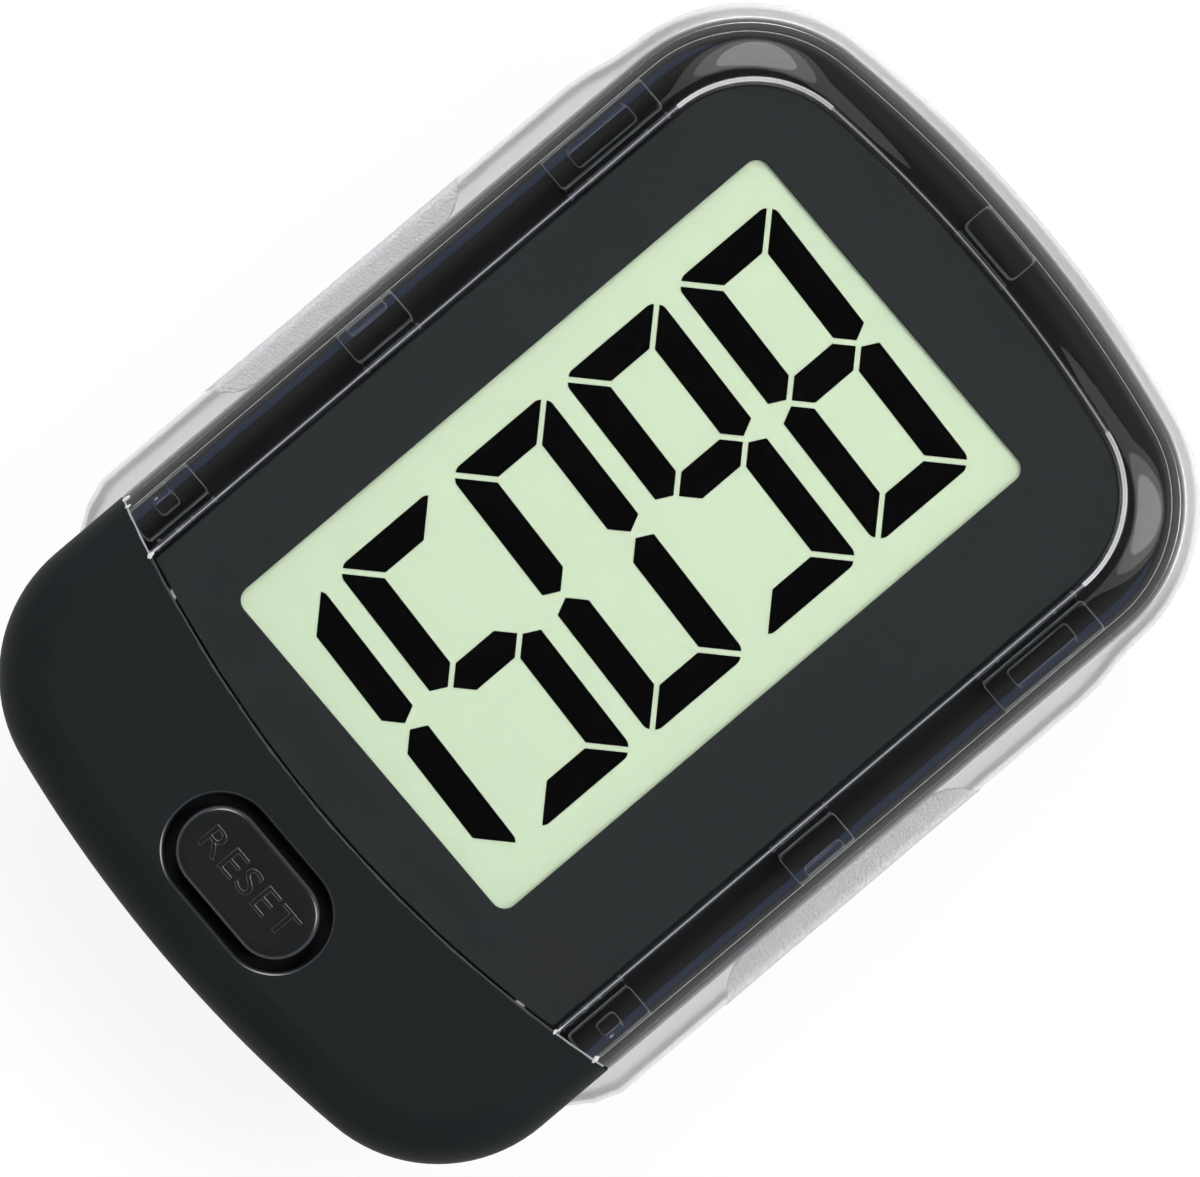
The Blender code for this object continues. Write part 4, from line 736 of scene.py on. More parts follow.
def rim_outside():
    """The rim's outer section, from the straight wall up to the crown."""
    fall = RIM_Z - CROWN_RADIUS * (math.cos(CROWN_END) - math.cos(CROWN_START))
    fall -= SHOULDER_RADIUS * math.cos(CROWN_START)
    middle = SHOULDER_RADIUS * (1 - math.sin(CROWN_START)) + CROWN_RADIUS * math.sin(CROWN_START)
    centre = (middle, fall + (SHOULDER_RADIUS - CROWN_RADIUS) * math.cos(CROWN_START))
    upright = math.pi / 2
    shoulder = arc((SHOULDER_RADIUS, fall), SHOULDER_RADIUS, math.pi, upright + CROWN_START, 14)
    crown = arc(centre, CROWN_RADIUS, upright + CROWN_START, upright + CROWN_END, 10)
    return shoulder + crown[1:]


def rim_section(foot_z, ceiling_round, foot_round):
    """The front's section, from its ceiling down the wall and up over the rim."""
    inside = soften([
        (CEILING_INSET, CEILING_Z, 0),
        (WALL, CEILING_Z, ceiling_round),
        (WALL, foot_z, foot_round),
        (0, foot_z, foot_round),
        (0, RIM_Z, 0),
    ], 8)[:-1]
    return inside + rim_outside()


# %% [markdown]
# The tool that cuts along the seam is a block with one side bowed as the seam is. The same tool, shifted by
# a gap, serves the cover, the cap and the mask.

# %% Make the seam's cutting tool
TOOL_HALF = 22 * MM
TOOL_REACH = 40 * MM
TOOL_LOW_Z = 5 * MM
TOOL_HIGH_Z = 25 * MM
SEAM_STEPS = 96


def seam_block(name, shift, above):
    """Everything on one side of the seam."""
    xs = [-TOOL_HALF + 2 * TOOL_HALF * step / SEAM_STEPS for step in range(SEAM_STEPS + 1)]
    edge = [(x, seam_y(x, shift)) for x in xs]
    far = TOOL_REACH if above else -TOOL_REACH
    outline = edge + [(TOOL_HALF, far), (-TOOL_HALF, far)]
    return skin(name, [at_height(outline, TOOL_LOW_Z), at_height(outline, TOOL_HIGH_Z)])


# %% [markdown]
# ## The clear cover
# The cover is one clear moulding: a thick rounded rim round a flat lens that lies half a millimetre lower,
# and thin side walls that stand on the frame. The step from the rim down to the lens has soft arcs at its top
# and foot, and these show as fine lines round the display, together with a painted highlight on the step's
# slanted faces.

# %% Build the cover
CEILING_ROUND = 0.06 * MM
COVER_FOOT_ROUND = 0.03 * MM
CROWN_OVERLAP = 0.5 * MM
STEP_TOP_ROUND = 0.22 * MM
STEP_FOOT_ROUND = 0.2 * MM
LENS_INSET = 0.7 * MM


def make_cover():
    """The clear cover with its lens."""
    section = rim_section(COVER_FOOT_Z, CEILING_ROUND, COVER_FOOT_ROUND)
    rings = [at_height(body_ring(inset), z) for inset, z in section]
    step = soften([
        (-CROWN_OVERLAP, RIM_Z, 0),
        (0, RIM_Z, STEP_TOP_ROUND),
        (0, LENS_Z, STEP_FOOT_ROUND),
        (LENS_INSET, LENS_Z, 0),
    ], 6)
    rings += [at_height(panel_ring(inset), z) for inset, z in step[1:]]
    cover = skin("clear_cover", rings)
    return combine(cover, seam_block("seam_cut", 0, False), "DIFFERENCE")


cover = dress(make_cover(), CLEAR, "case", ["front_cover"])

# %% [markdown]
# Two bands of the cover aren't plainly clear. The step's slanted faces carry a painted highlight, widest at
# the lens's corners, and the wall's outer foot is painted black as painted shade for the narrow gap between
# cover and shell. Both are picked out by where a face lies and which way it looks, which is simpler than
# building them as pieces of their own.

# %% Paint a highlight on the lens's step and shade on the wall's foot
STEP_HALF = 15.95 * MM
STEP_TOP_Y = 25.3 * MM
CORNER_X = 10.5 * MM
CORNER_Y = 18.5 * MM
STEP_SLANTS = (0.25, 0.6)
CORNER_SLANTS = (0.02, 0.8)
GAP_SHADE_TOP_Z = 15.8 * MM
GAP_SHADE_SLANT = 0.28
WALL_MIDDLE_Y = 3 * MM


def on_step(face):
    """True for the slanted faces of the step round the lens."""
    x, y, z = face.center
    near_lens = LENS_Z < z < RIM_Z and abs(x) < STEP_HALF and y < STEP_TOP_Y
    at_corner = abs(x) > CORNER_X and y > CORNER_Y
    return near_lens and leans(face, CORNER_SLANTS if at_corner else STEP_SLANTS)


def in_gap_shade(face):
    """True for the faces of the wall's foot that look outwards."""
    outward = face.normal.x * face.center.x + face.normal.y * (face.center.y - WALL_MIDDLE_Y) > 0
    return outward and face.center.z < GAP_SHADE_TOP_Z and face.normal.z < GAP_SHADE_SLANT


accent(cover, LENS_STEP_HIGHLIGHT, on_step)
accent(cover, GAP_SHADE_BLACK, in_gap_shade)
print("faces with a painted highlight or shade:", sum(face.material_index > 0 for face in cover.data.polygons))

# %% [markdown]
# ## The black cap
# The cap goes on from the cover's rim with the same section but without the sunken lens. The hole for the
# button is cut with a tool that flares at the top, which leaves a soft edge on the hole in one step.

# %% Build the cap
BUTTON_Y = -23.05 * MM
BUTTON_LENGTH = 8.75 * MM
BUTTON_WIDTH = 4.5 * MM
BUTTON_CORNER = 2.2 * MM
BUTTON_STEPS = 14
CAP_GAP = -0.13 * MM
CAP_CEILING_ROUND = 0.4 * MM
CAP_FOOT_ROUND = 0.12 * MM
HOLE_GAP = 0.55 * MM
HOLE_ROUND = 0.25 * MM
HOLE_FLARE = 1.2 * MM


def stadium(grow):
    """The button's plan, grown evenly."""
    length = BUTTON_LENGTH + 2 * grow
    width = BUTTON_WIDTH + 2 * grow
    return rectangle((0, BUTTON_Y), length, width, BUTTON_CORNER + grow, BUTTON_STEPS)


def make_cap():
    """The black cap with its button hole."""
    section = rim_section(BASE_Z, CAP_CEILING_ROUND, CAP_FOOT_ROUND)
    cap = skin("black_cap", [at_height(body_ring(inset), z) for inset, z in section])
    combine(cap, seam_block("cap_cut", CAP_GAP, True), "DIFFERENCE")
    flare = soften([
        (HOLE_GAP, CEILING_Z - MM, 0),
        (HOLE_GAP, RIM_Z, HOLE_ROUND),
        (HOLE_FLARE, RIM_Z, 0),
        (HOLE_FLARE, RIM_Z + MM, 0),
    ], 8)
    hole = skin("button_hole", [at_height(stadium(grow), z) for grow, z in flare])
    return combine(cap, hole, "DIFFERENCE")


cap = dress(make_cap(), BLACK, "case", ["bottom_cap"])

# %% [markdown]
# Thumbs polish the edge of the hole, so its rounded faces get the worn glossy black.

# %% Polish the hole's edge
HOLE_REACH = (5.6 * MM, 3.4 * MM)
HOLE_EDGE_Z = 17.8 * MM
HOLE_SLANTS = (0.05, 0.98)


def near_hole(face):
    """True for the rounded edge of the button hole."""
    x, y, z = face.center
    inside = abs(x) < HOLE_REACH[0] and abs(y - BUTTON_Y) < HOLE_REACH[1]
    return inside and z > HOLE_EDGE_Z and leans(face, HOLE_SLANTS)


accent(cap, BLACK_EDGE, near_hole)
print("polished faces:", sum(face.material_index for face in cap.data.polygons))

# %% [markdown]
# ## The reset button
# A soft black button with a rounded edge and a very slightly sunken face, and a flange that keeps it in its
# hole. Its edge is polished by thumbs too.

# %% Build the button
BUTTON_TOP_Z = 18.4 * MM
FLANGE = 1.15 * MM
FLANGE_EDGE = 0.15 * MM
FLANGE_LOW_Z = 15.45 * MM
FLANGE_HIGH_Z = 16.25 * MM
FLANGE_ROUND = 0.1 * MM
BUTTON_ROUND = 0.32 * MM
DISH_INSET = 0.9 * MM
DISH_MIDDLE = 2.0 * MM
DISH_DROP = 0.03 * MM
DISH_ROUND = 0.4 * MM
BUTTON_EDGE_Z = 17.9 * MM
BUTTON_SLANTS = (0.1, 0.97)


def make_button():
    """The button with its flange."""
    section = soften([
        (FLANGE, FLANGE_LOW_Z, FLANGE_ROUND),
        (FLANGE, FLANGE_HIGH_Z, FLANGE_ROUND),
        (0, FLANGE_HIGH_Z, 0),
        (0, BUTTON_TOP_Z, BUTTON_ROUND),
        (-DISH_INSET, BUTTON_TOP_Z - DISH_DROP, DISH_ROUND),
        (-DISH_MIDDLE, BUTTON_TOP_Z - 2 * DISH_DROP, 0),
    ], 6)
    section[0] = (FLANGE - FLANGE_EDGE, FLANGE_LOW_Z)
    return skin("reset_cap", [at_height(stadium(grow), z) for grow, z in section])


def on_edge(face):
    """True for the rounded edge of the button's top."""
    return leans(face, BUTTON_SLANTS) and face.center.z > BUTTON_EDGE_Z


button = dress(make_button(), BUTTON_BLACK, "reset_button", ["reset_button"])
accent(button, BLACK_EDGE, on_edge)

# %% [markdown]
# The button's word is a plain control label in relief. Letters would be hard to skin by rings, so a text
# curve is turned into a mesh and laid on the face. Its bevels are glossier than its face and carry a lighter
# grey painted highlight, which is what makes black letters on a black button readable.

# %% Raise the button's label
LETTER_HEIGHT = 1.42 * MM
LETTER_HEIGHT_SHARE = 0.7
LETTER_DEPTH = 0.02 * MM
LETTER_BEVEL = 0.05 * MM
LETTER_SINK = 0.09 * MM
LETTER_THINNING = 0.03 * MM
LETTER_SPACING = 1.1
LETTER_STRETCH = 1.16
LETTER_SLANTS = (0.05, 0.97)


def make_label(text):
    """A word in relief, reading across the case."""
    curve = bpy.data.curves.new("reset_label", "FONT")
    curve.body = text
    curve.size = LETTER_HEIGHT / LETTER_HEIGHT_SHARE
    curve.extrude = LETTER_DEPTH
    curve.bevel_depth = LETTER_BEVEL
    curve.bevel_resolution = 2
    curve.offset = -LETTER_THINNING
    curve.align_x = "CENTER"
    curve.align_y = "CENTER"
    curve.space_character = LETTER_SPACING
    word = bpy.data.objects.new("reset_label", curve)
    bpy.context.scene.collection.objects.link(word)
    word.location = (0, BUTTON_Y, BUTTON_TOP_Z - LETTER_SINK)
    bpy.context.view_layer.update()
    depsgraph = bpy.context.evaluated_depsgraph_get()
    mesh = bpy.data.meshes.new_from_object(word.evaluated_get(depsgraph))
    mesh.transform(word.matrix_world @ Matrix.Diagonal((LETTER_STRETCH, 1, 1, 1)))
    bpy.data.objects.remove(word, do_unlink=True)
    label = bpy.data.objects.new("reset_label", mesh)
    bpy.context.scene.collection.objects.link(label)
    return label


label = dress(make_label("RESET"), BUTTON_BLACK, "reset_button")
accent(label, LABEL_HIGHLIGHT, lambda face: leans(face, LETTER_SLANTS))

# %% [markdown]
# ## The silicone dome
# Under the button sits a silicone dome, which gives way when the button goes down. It is turned from its
# section.

# %% Build the silicone dome
DOME_TOP_Z = 15.15 * MM
DOME_SHOULDER_Z = 13.9 * MM
DOME_FOOT_Z = 13.3 * MM
DOME_RADIUS = 1.8 * MM
DOME_FOOT_RADIUS = 2.4 * MM
DOME_ROUND = 0.3 * MM
DOME_FOOT_ROUND = 0.1 * MM
DOME_INSIDE_ROUND = 0.2 * MM
TURN_STEPS = 48


def turned_rings(place, profile):
    """Rings of a turned piece from its radii and heights."""
    rings = []
    for radius, height in profile:
        turns = [2 * math.pi * step / TURN_STEPS for step in range(TURN_STEPS)]
        circle = [(place[0] + radius * math.cos(a), place[1] + radius * math.sin(a)) for a in turns]
        rings.append(at_height(circle, height))
    return rings


def make_dome():
    """The dome, hollow from below."""
    section = soften([
        (0, DOME_TOP_Z, 0),
        (DOME_RADIUS, DOME_TOP_Z, DOME_ROUND),
        (DOME_FOOT_RADIUS, DOME_SHOULDER_Z, DOME_ROUND),
        (DOME_FOOT_RADIUS, DOME_FOOT_Z, DOME_FOOT_ROUND),
        (DOME_RADIUS, DOME_FOOT_Z, DOME_FOOT_ROUND),
        (DOME_RADIUS, DOME_SHOULDER_Z, DOME_INSIDE_ROUND),
        (0, DOME_SHOULDER_Z, 0),
    ], 5)
    return skin("silicone_dome", turned_rings((0, BUTTON_Y), section[1:-1]))


dome = dress(make_dome(), SILICONE, "case", ["button_pad"])
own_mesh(dome)

# %% [markdown]
# ## The rear shell
# The pale band round the case is the rear shell, a frosted clear tray with wider grips along its sides. Its
# width is drawn as a smooth function of the place along the case.

# %% Draw the shell's plan
SHELL_HALF = 19.65 * MM
SHELL_GRIP_HALF = 20.2 * MM
SHELL_FOOT_HALF = 18.6 * MM
SHELL_TOP = (HALF_LENGTH, 67.8 * MM, 9 * MM)
SHELL_FOOT = (28.5 * MM, 72.8 * MM, 7.8 * MM)
FLARE_Y = 18.7 * MM
FLARE_LENGTH = 3.8 * MM
TAPER_Y = -15.8 * MM
TAPER_LENGTH = 3.4 * MM


def ease(share):
    """A smooth step from 0 to 1."""
    share = min(1.0, max(0.0, share))
    return (1 - math.cos(math.pi * share)) / 2


def shell_half_width(y):
    """Half the shell's width at a place along it."""
    flare = (SHELL_GRIP_HALF - SHELL_HALF) * ease((FLARE_Y - y) / FLARE_LENGTH)
    taper = (SHELL_FOOT_HALF - SHELL_GRIP_HALF) * ease((TAPER_Y - y) / TAPER_LENGTH)
    return SHELL_HALF + flare + taper


def shell_ring(inset):
    """The plan of the shell, drawn in by an inset."""
    top = bowed_end(SHELL_HALF, SHELL_TOP, inset)
    foot = bowed_end(SHELL_FOOT_HALF, SHELL_FOOT, inset)
    return case_ring(top, foot, lambda y: shell_half_width(y) - inset)


# %% [markdown]
# The shell's rim is well rounded, because the light that comes up through it is what makes the band shine.
# The inside is a second section, skinned on from the first.

# %% Skin the plain tray
SHELL_BACK_Z = 6.6 * MM
SHELL_RIM_Z = 12.6 * MM
SHELL_FLOOR_Z = 7.8 * MM
BACK_INSET = 2.6 * MM
BACK_ROUND = 1.8 * MM
SHELL_RIM_INSET = 0.7 * MM
SHELL_RIM_ROUND = 0.35 * MM
INSIDE_RIM_INSET = 0.6 * MM
INSIDE_RIM_ROUND = 0.12 * MM
FLOOR_INSET = 2.5 * MM
FLOOR_ROUND = 0.5 * MM


def shell_back_rings():
    """The shell's outer form, from its flat back up to its rim."""
    outer = soften([
        (BACK_INSET, SHELL_BACK_Z, 0),
        (0, SHELL_BACK_Z, BACK_ROUND),
        (0, SHELL_RIM_Z, SHELL_RIM_ROUND),
        (SHELL_RIM_INSET, SHELL_RIM_Z, 0),
    ], 7)
    return [at_height(shell_ring(inset), z) for inset, z in outer]


def make_tray():
    """The plain tray, before its details."""
    inner = soften([
        (INSIDE_RIM_INSET, SHELL_RIM_Z, 0),
        (WALL, SHELL_RIM_Z, INSIDE_RIM_ROUND),
        (WALL, SHELL_FLOOR_Z, FLOOR_ROUND),
        (FLOOR_INSET, SHELL_FLOOR_Z, 0),
    ], 5)
    inside = [at_height(body_ring(inset), z) for inset, z in inner[1:]]
    return skin("frosted_shell", shell_back_rings() + inside)


# %% [markdown]
# The back has a channel for the battery door. The cutting tool flares where it leaves the back, so that the
# opening gets a fine chamfer.

# %% Make the channel's cutting tool
DOOR_HALF = 11.6 * MM
DOOR_TOP_Y = 4.5 * MM
GROOVE_HALF = 12.4 * MM
GROOVE_TOP_Y = 5.3 * MM
GROOVE_LOW_Z = 7.2 * MM
GROOVE_HIGH_Z = 8.1 * MM
CHANNEL_CORNER = 1.5 * MM
CHAMFER = 0.12 * MM


def channel(half, top):
    """The plan of a channel that runs out past the foot of the case."""
    foot = -TOOL_REACH
    corners = [(half, foot, 0), (half, top, CHANNEL_CORNER), (-half, top, CHANNEL_CORNER), (-half, foot, 0)]
    return soften(corners, 10)


def channel_tool(half, top, low, high, flare=0.0):
    """A solid of the channel, wider towards its lower end by the flare."""
    plan = channel(half, top)
    rings = [at_height(inward(plan, -flare), low), at_height(plan, low + flare), at_height(plan, high)]
    return skin("channel", rings if flare else rings[1:])


# %% [markdown]
# Shell and clip both have hinge ears round one pin. An ear is drawn from the side and given a width, so
# rings in the Y and Z directions are turned to stand along X.

# %% Make helpers for the hinge
HINGE = (12 * MM, 4.2 * MM)
EAR_RADIUS = 1.8 * MM
EAR_HALF = 2.8 * MM
BORE_RADIUS = 0.9 * MM
BORE_REACH = 15 * MM


def along_x(rings):
    """Rings drawn in Y and Z, with their third value as the place along X."""
    return [[(z, x, y) for x, y, z in ring] for ring in rings]


def ear_outline(root_z):
    """The side view of a hinge ear that ends round the pin."""
    turn = 0 if root_z < HINGE[1] else math.pi
    half = EAR_HALF if root_z < HINGE[1] else -EAR_HALF
    tip = arc(HINGE, EAR_RADIUS, turn, turn + math.pi, 28)
    return [(HINGE[0] - half, root_z), (HINGE[0] + half, root_z)] + tip


def ear(root_z, near, far):
    """One ear with chamfered faces, between two distances from the middle."""
    low, high = sorted((near, far))
    return skin("ear", along_x(plate_rings(ear_outline(root_z), low, high, CHAMFER)))


def pin_bore():
    """The tool for a bore along the hinge."""
    profile = [(BORE_RADIUS, -BORE_REACH), (BORE_RADIUS, BORE_REACH)]
    return skin("pin_bore", along_x(turned_rings(HINGE, profile)))


# %% [markdown]
# Four case screws go in from the back. Each stands in a boss and has a sunk seat for its head.

# %% Make the screws' bosses and holes
SCREW_X = 14.5 * MM
SCREW_YS = (21 * MM, -20.5 * MM)
SCREW_PLACES = [(x, y) for y in SCREW_YS for x in (-SCREW_X, SCREW_X)]
BOSS_RADIUS = 1.9 * MM
BOSS_LOW_Z = 7.5 * MM
BOSS_HIGH_Z = 8.9 * MM
SEAT_RADIUS = 1.6 * MM
SEAT_Z = 7.9 * MM
HOLE_RADIUS = 1.0 * MM
HOLE_HIGH_Z = 9.5 * MM


def add_screw_holes(shell):
    """Bosses, sunk seats and holes for the four case screws."""
    boss = [
        (BOSS_RADIUS, BOSS_LOW_Z),
        (BOSS_RADIUS, BOSS_HIGH_Z - CHAMFER),
        (BOSS_RADIUS - CHAMFER, BOSS_HIGH_Z),
    ]
    for place in SCREW_PLACES:
        combine(shell, skin("boss", turned_rings(place, boss)), "UNION")
    seat = [
        (SEAT_RADIUS + CHAMFER + MM, SHELL_BACK_Z - MM),
        (SEAT_RADIUS, SHELL_BACK_Z + CHAMFER),
        (SEAT_RADIUS, SEAT_Z),
        (HOLE_RADIUS, SEAT_Z),
        (HOLE_RADIUS, HOLE_HIGH_Z),
    ]
    for place in SCREW_PLACES:
        combine(shell, skin("screw_seat", turned_rings(place, seat)), "DIFFERENCE")


# %% [markdown]
# The tray is now cut and joined in the order of a real tool: channel and groove, screw holes, hinge ears and
# last the bore, which runs through all the ears at once.

# %% Build the shell
SHELL_EAR = (6.6 * MM, 8.7 * MM)
SHELL_EAR_ROOT_Z = 7.2 * MM


def make_shell():
    """The frosted shell with its channel, bosses and lugs."""
    shell = make_tray()
    below = SHELL_BACK_Z - MM
    combine(shell, channel_tool(DOOR_HALF, DOOR_TOP_Y, below, GROOVE_HIGH_Z, MM + CHAMFER), "DIFFERENCE")
    combine(shell, channel_tool(GROOVE_HALF, GROOVE_TOP_Y, GROOVE_LOW_Z, GROOVE_HIGH_Z), "DIFFERENCE")
    add_screw_holes(shell)
    for sign in (-1, 1):
        combine(shell, ear(SHELL_EAR_ROOT_Z, *[sign * x for x in SHELL_EAR]), "UNION")
    return combine(shell, pin_bore(), "DIFFERENCE")


dress(make_shell(), SHELL_CLEAR, "case", ["rear_shell"])

# %% [markdown]
# ## The side grips
# Along both sides the shell has a grip: a low pad with a coarse sparkling grain that runs over the shoulder
# and down the side. Its section is a route of points over the shell's edge, and each point of the pad is
# found by its distance along that route.

# %% Draw the grip's section
GRIP_TOP_X = 18.86 * MM
GRIP_PROUD = 0.05 * MM
GRIP_ROUND = 0.39 * MM
GRIP_TOP_STEP = 0.08 * MM
GRIP_SIDE_STEP = 0.3 * MM


def grip_route():
    """The grip's section over the shoulder and down the side."""
    top = SHELL_RIM_Z + GRIP_PROUD
    side = SHELL_GRIP_HALF + GRIP_PROUD
    round_x = side - GRIP_ROUND
    round_z = top - GRIP_ROUND
    route = [(GRIP_TOP_X + step * GRIP_TOP_STEP, top) for step in range(12)]
    route += arc((round_x, round_z), GRIP_ROUND, math.pi / 2, 0, 8)
    route += [(side, round_z - step * GRIP_SIDE_STEP) for step in range(1, 12)]
    return route


def along_route(route, lengths, distance):
    """The point of a route at a distance along it."""
    for index in range(len(route) - 1):
        if distance <= lengths[index + 1] or index == len(route) - 2:
            share = (distance - lengths[index]) / (lengths[index + 1] - lengths[index])
            return [a + (b - a) * share for a, b in zip(route[index], route[index + 1])]


# %% [markdown]
# The pad is a thin skin with its ends drawn in to round corners, so that the grain stops at a clean line as
# it does on the real moulding. Each of its points is sunk by a small chance amount, from a seeded draw that
# gives the same grain each time, which breaks the highlights up into sparks.

# %% Build the side grips
GRIP_LOW_Y = -8.9 * MM
GRIP_HIGH_Y = 7.9 * MM
GRIP_CORNER = 2.4 * MM
GRIP_STEPS = 160
GRIP_THICKNESS = 0.015 * MM
GRAIN_SEED = 7
GRAIN_DEPTH = 0.03 * MM


def corner_draw(y):
    """How far the pad's edge is drawn in at a place along it."""
    end = min(y - GRIP_LOW_Y, GRIP_HIGH_Y - y)
    if end >= GRIP_CORNER:
        return 0.0
    return GRIP_CORNER - math.sqrt(max(0.0, GRIP_CORNER**2 - (GRIP_CORNER - end) ** 2))


def grip_row(route, lengths, y, side, grain):
    """The points of the pad at one place along the case."""
    whole = lengths[-1]
    draw = corner_draw(y)
    row = []
    for length in lengths:
        x, z = along_route(route, lengths, draw + (whole - 2 * draw) * length / whole)
        sunk = [grain.uniform(-1, 0) * GRAIN_DEPTH * sign for sign in (side, 0, 1)]
        row.append(Vector((side * x, y, z)) + Vector(sunk))
    return row


def make_grip(name, side):
    """One side's grip."""
    route = grip_route()
    lengths = [0.0]
    for before, after in zip(route, route[1:]):
        lengths.append(lengths[-1] + math.dist(before, after))
    grain = random.Random(GRAIN_SEED)
    shape = bmesh.new()
    rows = []
    for step in range(GRIP_STEPS + 1):
        y = GRIP_LOW_Y + (GRIP_HIGH_Y - GRIP_LOW_Y) * step / GRIP_STEPS
        rows.append([shape.verts.new(point) for point in grip_row(route, lengths, y, side, grain)])
    for first, second in zip(rows, rows[1:]):
        for index in range(len(route) - 1):
            shape.faces.new((first[index], first[index + 1], second[index + 1], second[index]))
    piece = link_mesh(name, shape)
    sheet = piece.modifiers.new("thickness", "SOLIDIFY")
    sheet.thickness = GRIP_THICKNESS
    sheet.offset = -1
    return piece


for name, side in (("grip_left", -1), ("grip_right", 1)):
    dress(make_grip(name, side), GRIP_GRAIN, "case")

# %% [markdown]
# ## The battery door
# The door is a piece of the shell's back that slides off past the foot. It is made like the real one was
# designed: the shell's outer form, kept only where the door is. A tongue along its sides and end runs in the
# shell's groove. Four round grooves near the foot give the thumb a hold.

# %% Build the battery door
DOOR_GAP = 0.3 * MM
THUMB_GROOVE_Y = -21.9 * MM
THUMB_GROOVE_PITCH = 1.3 * MM
THUMB_GROOVE_HALF = 5.4 * MM
THUMB_GROOVE_WIDTH = 0.3 * MM
GROOVE_SINK = 0.013 * MM
GROOVE_STEPS = 12
GROOVE_SIDES = 24
GROOVE_TIP_SHARE = 0.02


def grip_groove(y, z, half, width, depth):
    """The tool for a groove along X with rounded ends."""
    rings = []
    for step in range(GROOVE_STEPS + 1):
        turn = math.pi * step / GROOVE_STEPS
        size = max(GROOVE_TIP_SHARE, math.sin(turn))
        x = -math.cos(turn) * width + (half - width) * (1 if step > GROOVE_STEPS / 2 else -1)
        turns = [2 * math.pi * index / GROOVE_SIDES for index in range(GROOVE_SIDES)]
        rings.append([(y + width * size * math.cos(a), z + depth * size * math.sin(a), x) for a in turns])
    return skin("grip_groove", along_x(rings))


def make_door():
    """The door's plate with its tongue and thumb grooves."""
    door = skin("sliding_door", shell_back_rings())
    below = SHELL_BACK_Z - MM
    region = channel_tool(DOOR_HALF - DOOR_GAP, DOOR_TOP_Y - DOOR_GAP, below, SHELL_FLOOR_Z)
    tongue = (GROOVE_HALF - DOOR_GAP, GROOVE_TOP_Y - DOOR_GAP, GROOVE_LOW_Z + DOOR_GAP, SHELL_FLOOR_Z)
    combine(region, channel_tool(*tongue), "UNION")
    combine(door, region, "INTERSECT")
    for index in range(4):
        y = THUMB_GROOVE_Y + index * THUMB_GROOVE_PITCH
        z = SHELL_BACK_Z - GROOVE_SINK
        groove = grip_groove(y, z, THUMB_GROOVE_HALF, THUMB_GROOVE_WIDTH, THUMB_GROOVE_WIDTH)
        combine(door, groove, "DIFFERENCE")
    return door


dress(make_door(), SHELL_CLEAR, "battery_door", ["battery_door"])

# %% [markdown]
# ## The belt clip
# A black plate with a rounded edge, two ears on the pin, a hooked lip that keeps the belt in, and grooves on
# the thumb tab. The plate is drawn from above, the lip from the side and given a width. The lip's table
# gives the place along the case, the height and the rounding of each corner, in mm.

# %% Draw the clip's plate and lip
CLIP_FOOT_Y = -18 * MM
CLIP_TOP_Y = 24.2 * MM
CLIP_TIP_HALF = 7.2 * MM
CLIP_TAB_HALF = 8.8 * MM
CLIP_CORNER = 4 * MM
CLIP_THICKNESS = 1.8 * MM
CLIP_EDGE = 0.8 * MM
CLIP_BACK_ROUND = 0.4 * MM
CLIP_FACE_ROUND = 0.25 * MM
LIP_HALF = 3.2 * MM
LIP_CHAMFER = 0.2 * MM
LIP_CORNERS = [
    (-17.6, 0.9, 0.1),
    (-13.2, 0.9, 0.1),
    (-15.6, 3.0, 1.2),
    (-15.6, 6.3, 0.42),
    (-16.8, 6.3, 0.6),
    (-17.6, 5.1, 0.8),
]


def make_clip_plate():
    """The clip's plate, narrower at its tip."""
    plan = soften([
        (CLIP_TIP_HALF, CLIP_FOOT_Y, CLIP_CORNER),
        (CLIP_TAB_HALF, CLIP_TOP_Y, CLIP_CORNER),
        (-CLIP_TAB_HALF, CLIP_TOP_Y, CLIP_CORNER),
        (-CLIP_TIP_HALF, CLIP_FOOT_Y, CLIP_CORNER),
    ], 14)
    section = soften([
        (CLIP_EDGE, 0, 0),
        (0, 0, CLIP_BACK_ROUND),
        (0, CLIP_THICKNESS, CLIP_FACE_ROUND),
        (CLIP_EDGE, CLIP_THICKNESS, 0),
    ], 6)
    return skin("sprung_clip", [at_height(inward(plan, inset), z) for inset, z in section])


def make_lip():
    """The hooked lip, drawn from the side."""
    outline = soften([(y * MM, z * MM, radius * MM) for y, z, radius in LIP_CORNERS], 8)
    return skin("lip", along_x(plate_rings(outline, -LIP_HALF, LIP_HALF, LIP_CHAMFER)))


# %% [markdown]
# The clip's ears stand between the shell's, and the same bore goes through them.

# %% Build the belt clip
CLIP_EAR = (4.2 * MM, 6.3 * MM)
CLIP_EAR_ROOT_Z = 0.9 * MM
TAB_GROOVE_MARGIN = 2.35 * MM
TAB_GROOVE_PITCH = 1.6 * MM
TAB_GROOVE_HALF = 6.8 * MM
TAB_GROOVE_WIDTH = 0.35 * MM
TAB_GROOVE_DEPTH = 0.4 * MM


def make_clip():
    """The whole clip."""
    clip = make_clip_plate()
    for sign in (-1, 1):
        combine(clip, ear(CLIP_EAR_ROOT_Z, *[sign * x for x in CLIP_EAR]), "UNION")
    combine(clip, make_lip(), "UNION")
    combine(clip, pin_bore(), "DIFFERENCE")
    for index in range(5):
        y = CLIP_TOP_Y - TAB_GROOVE_MARGIN - index * TAB_GROOVE_PITCH
        groove = grip_groove(y, -GROOVE_SINK, TAB_GROOVE_HALF, TAB_GROOVE_WIDTH, TAB_GROOVE_DEPTH)
        combine(clip, groove, "DIFFERENCE")
    return clip


dress(make_clip(), BLACK, "belt_clip", ["belt_clip"])

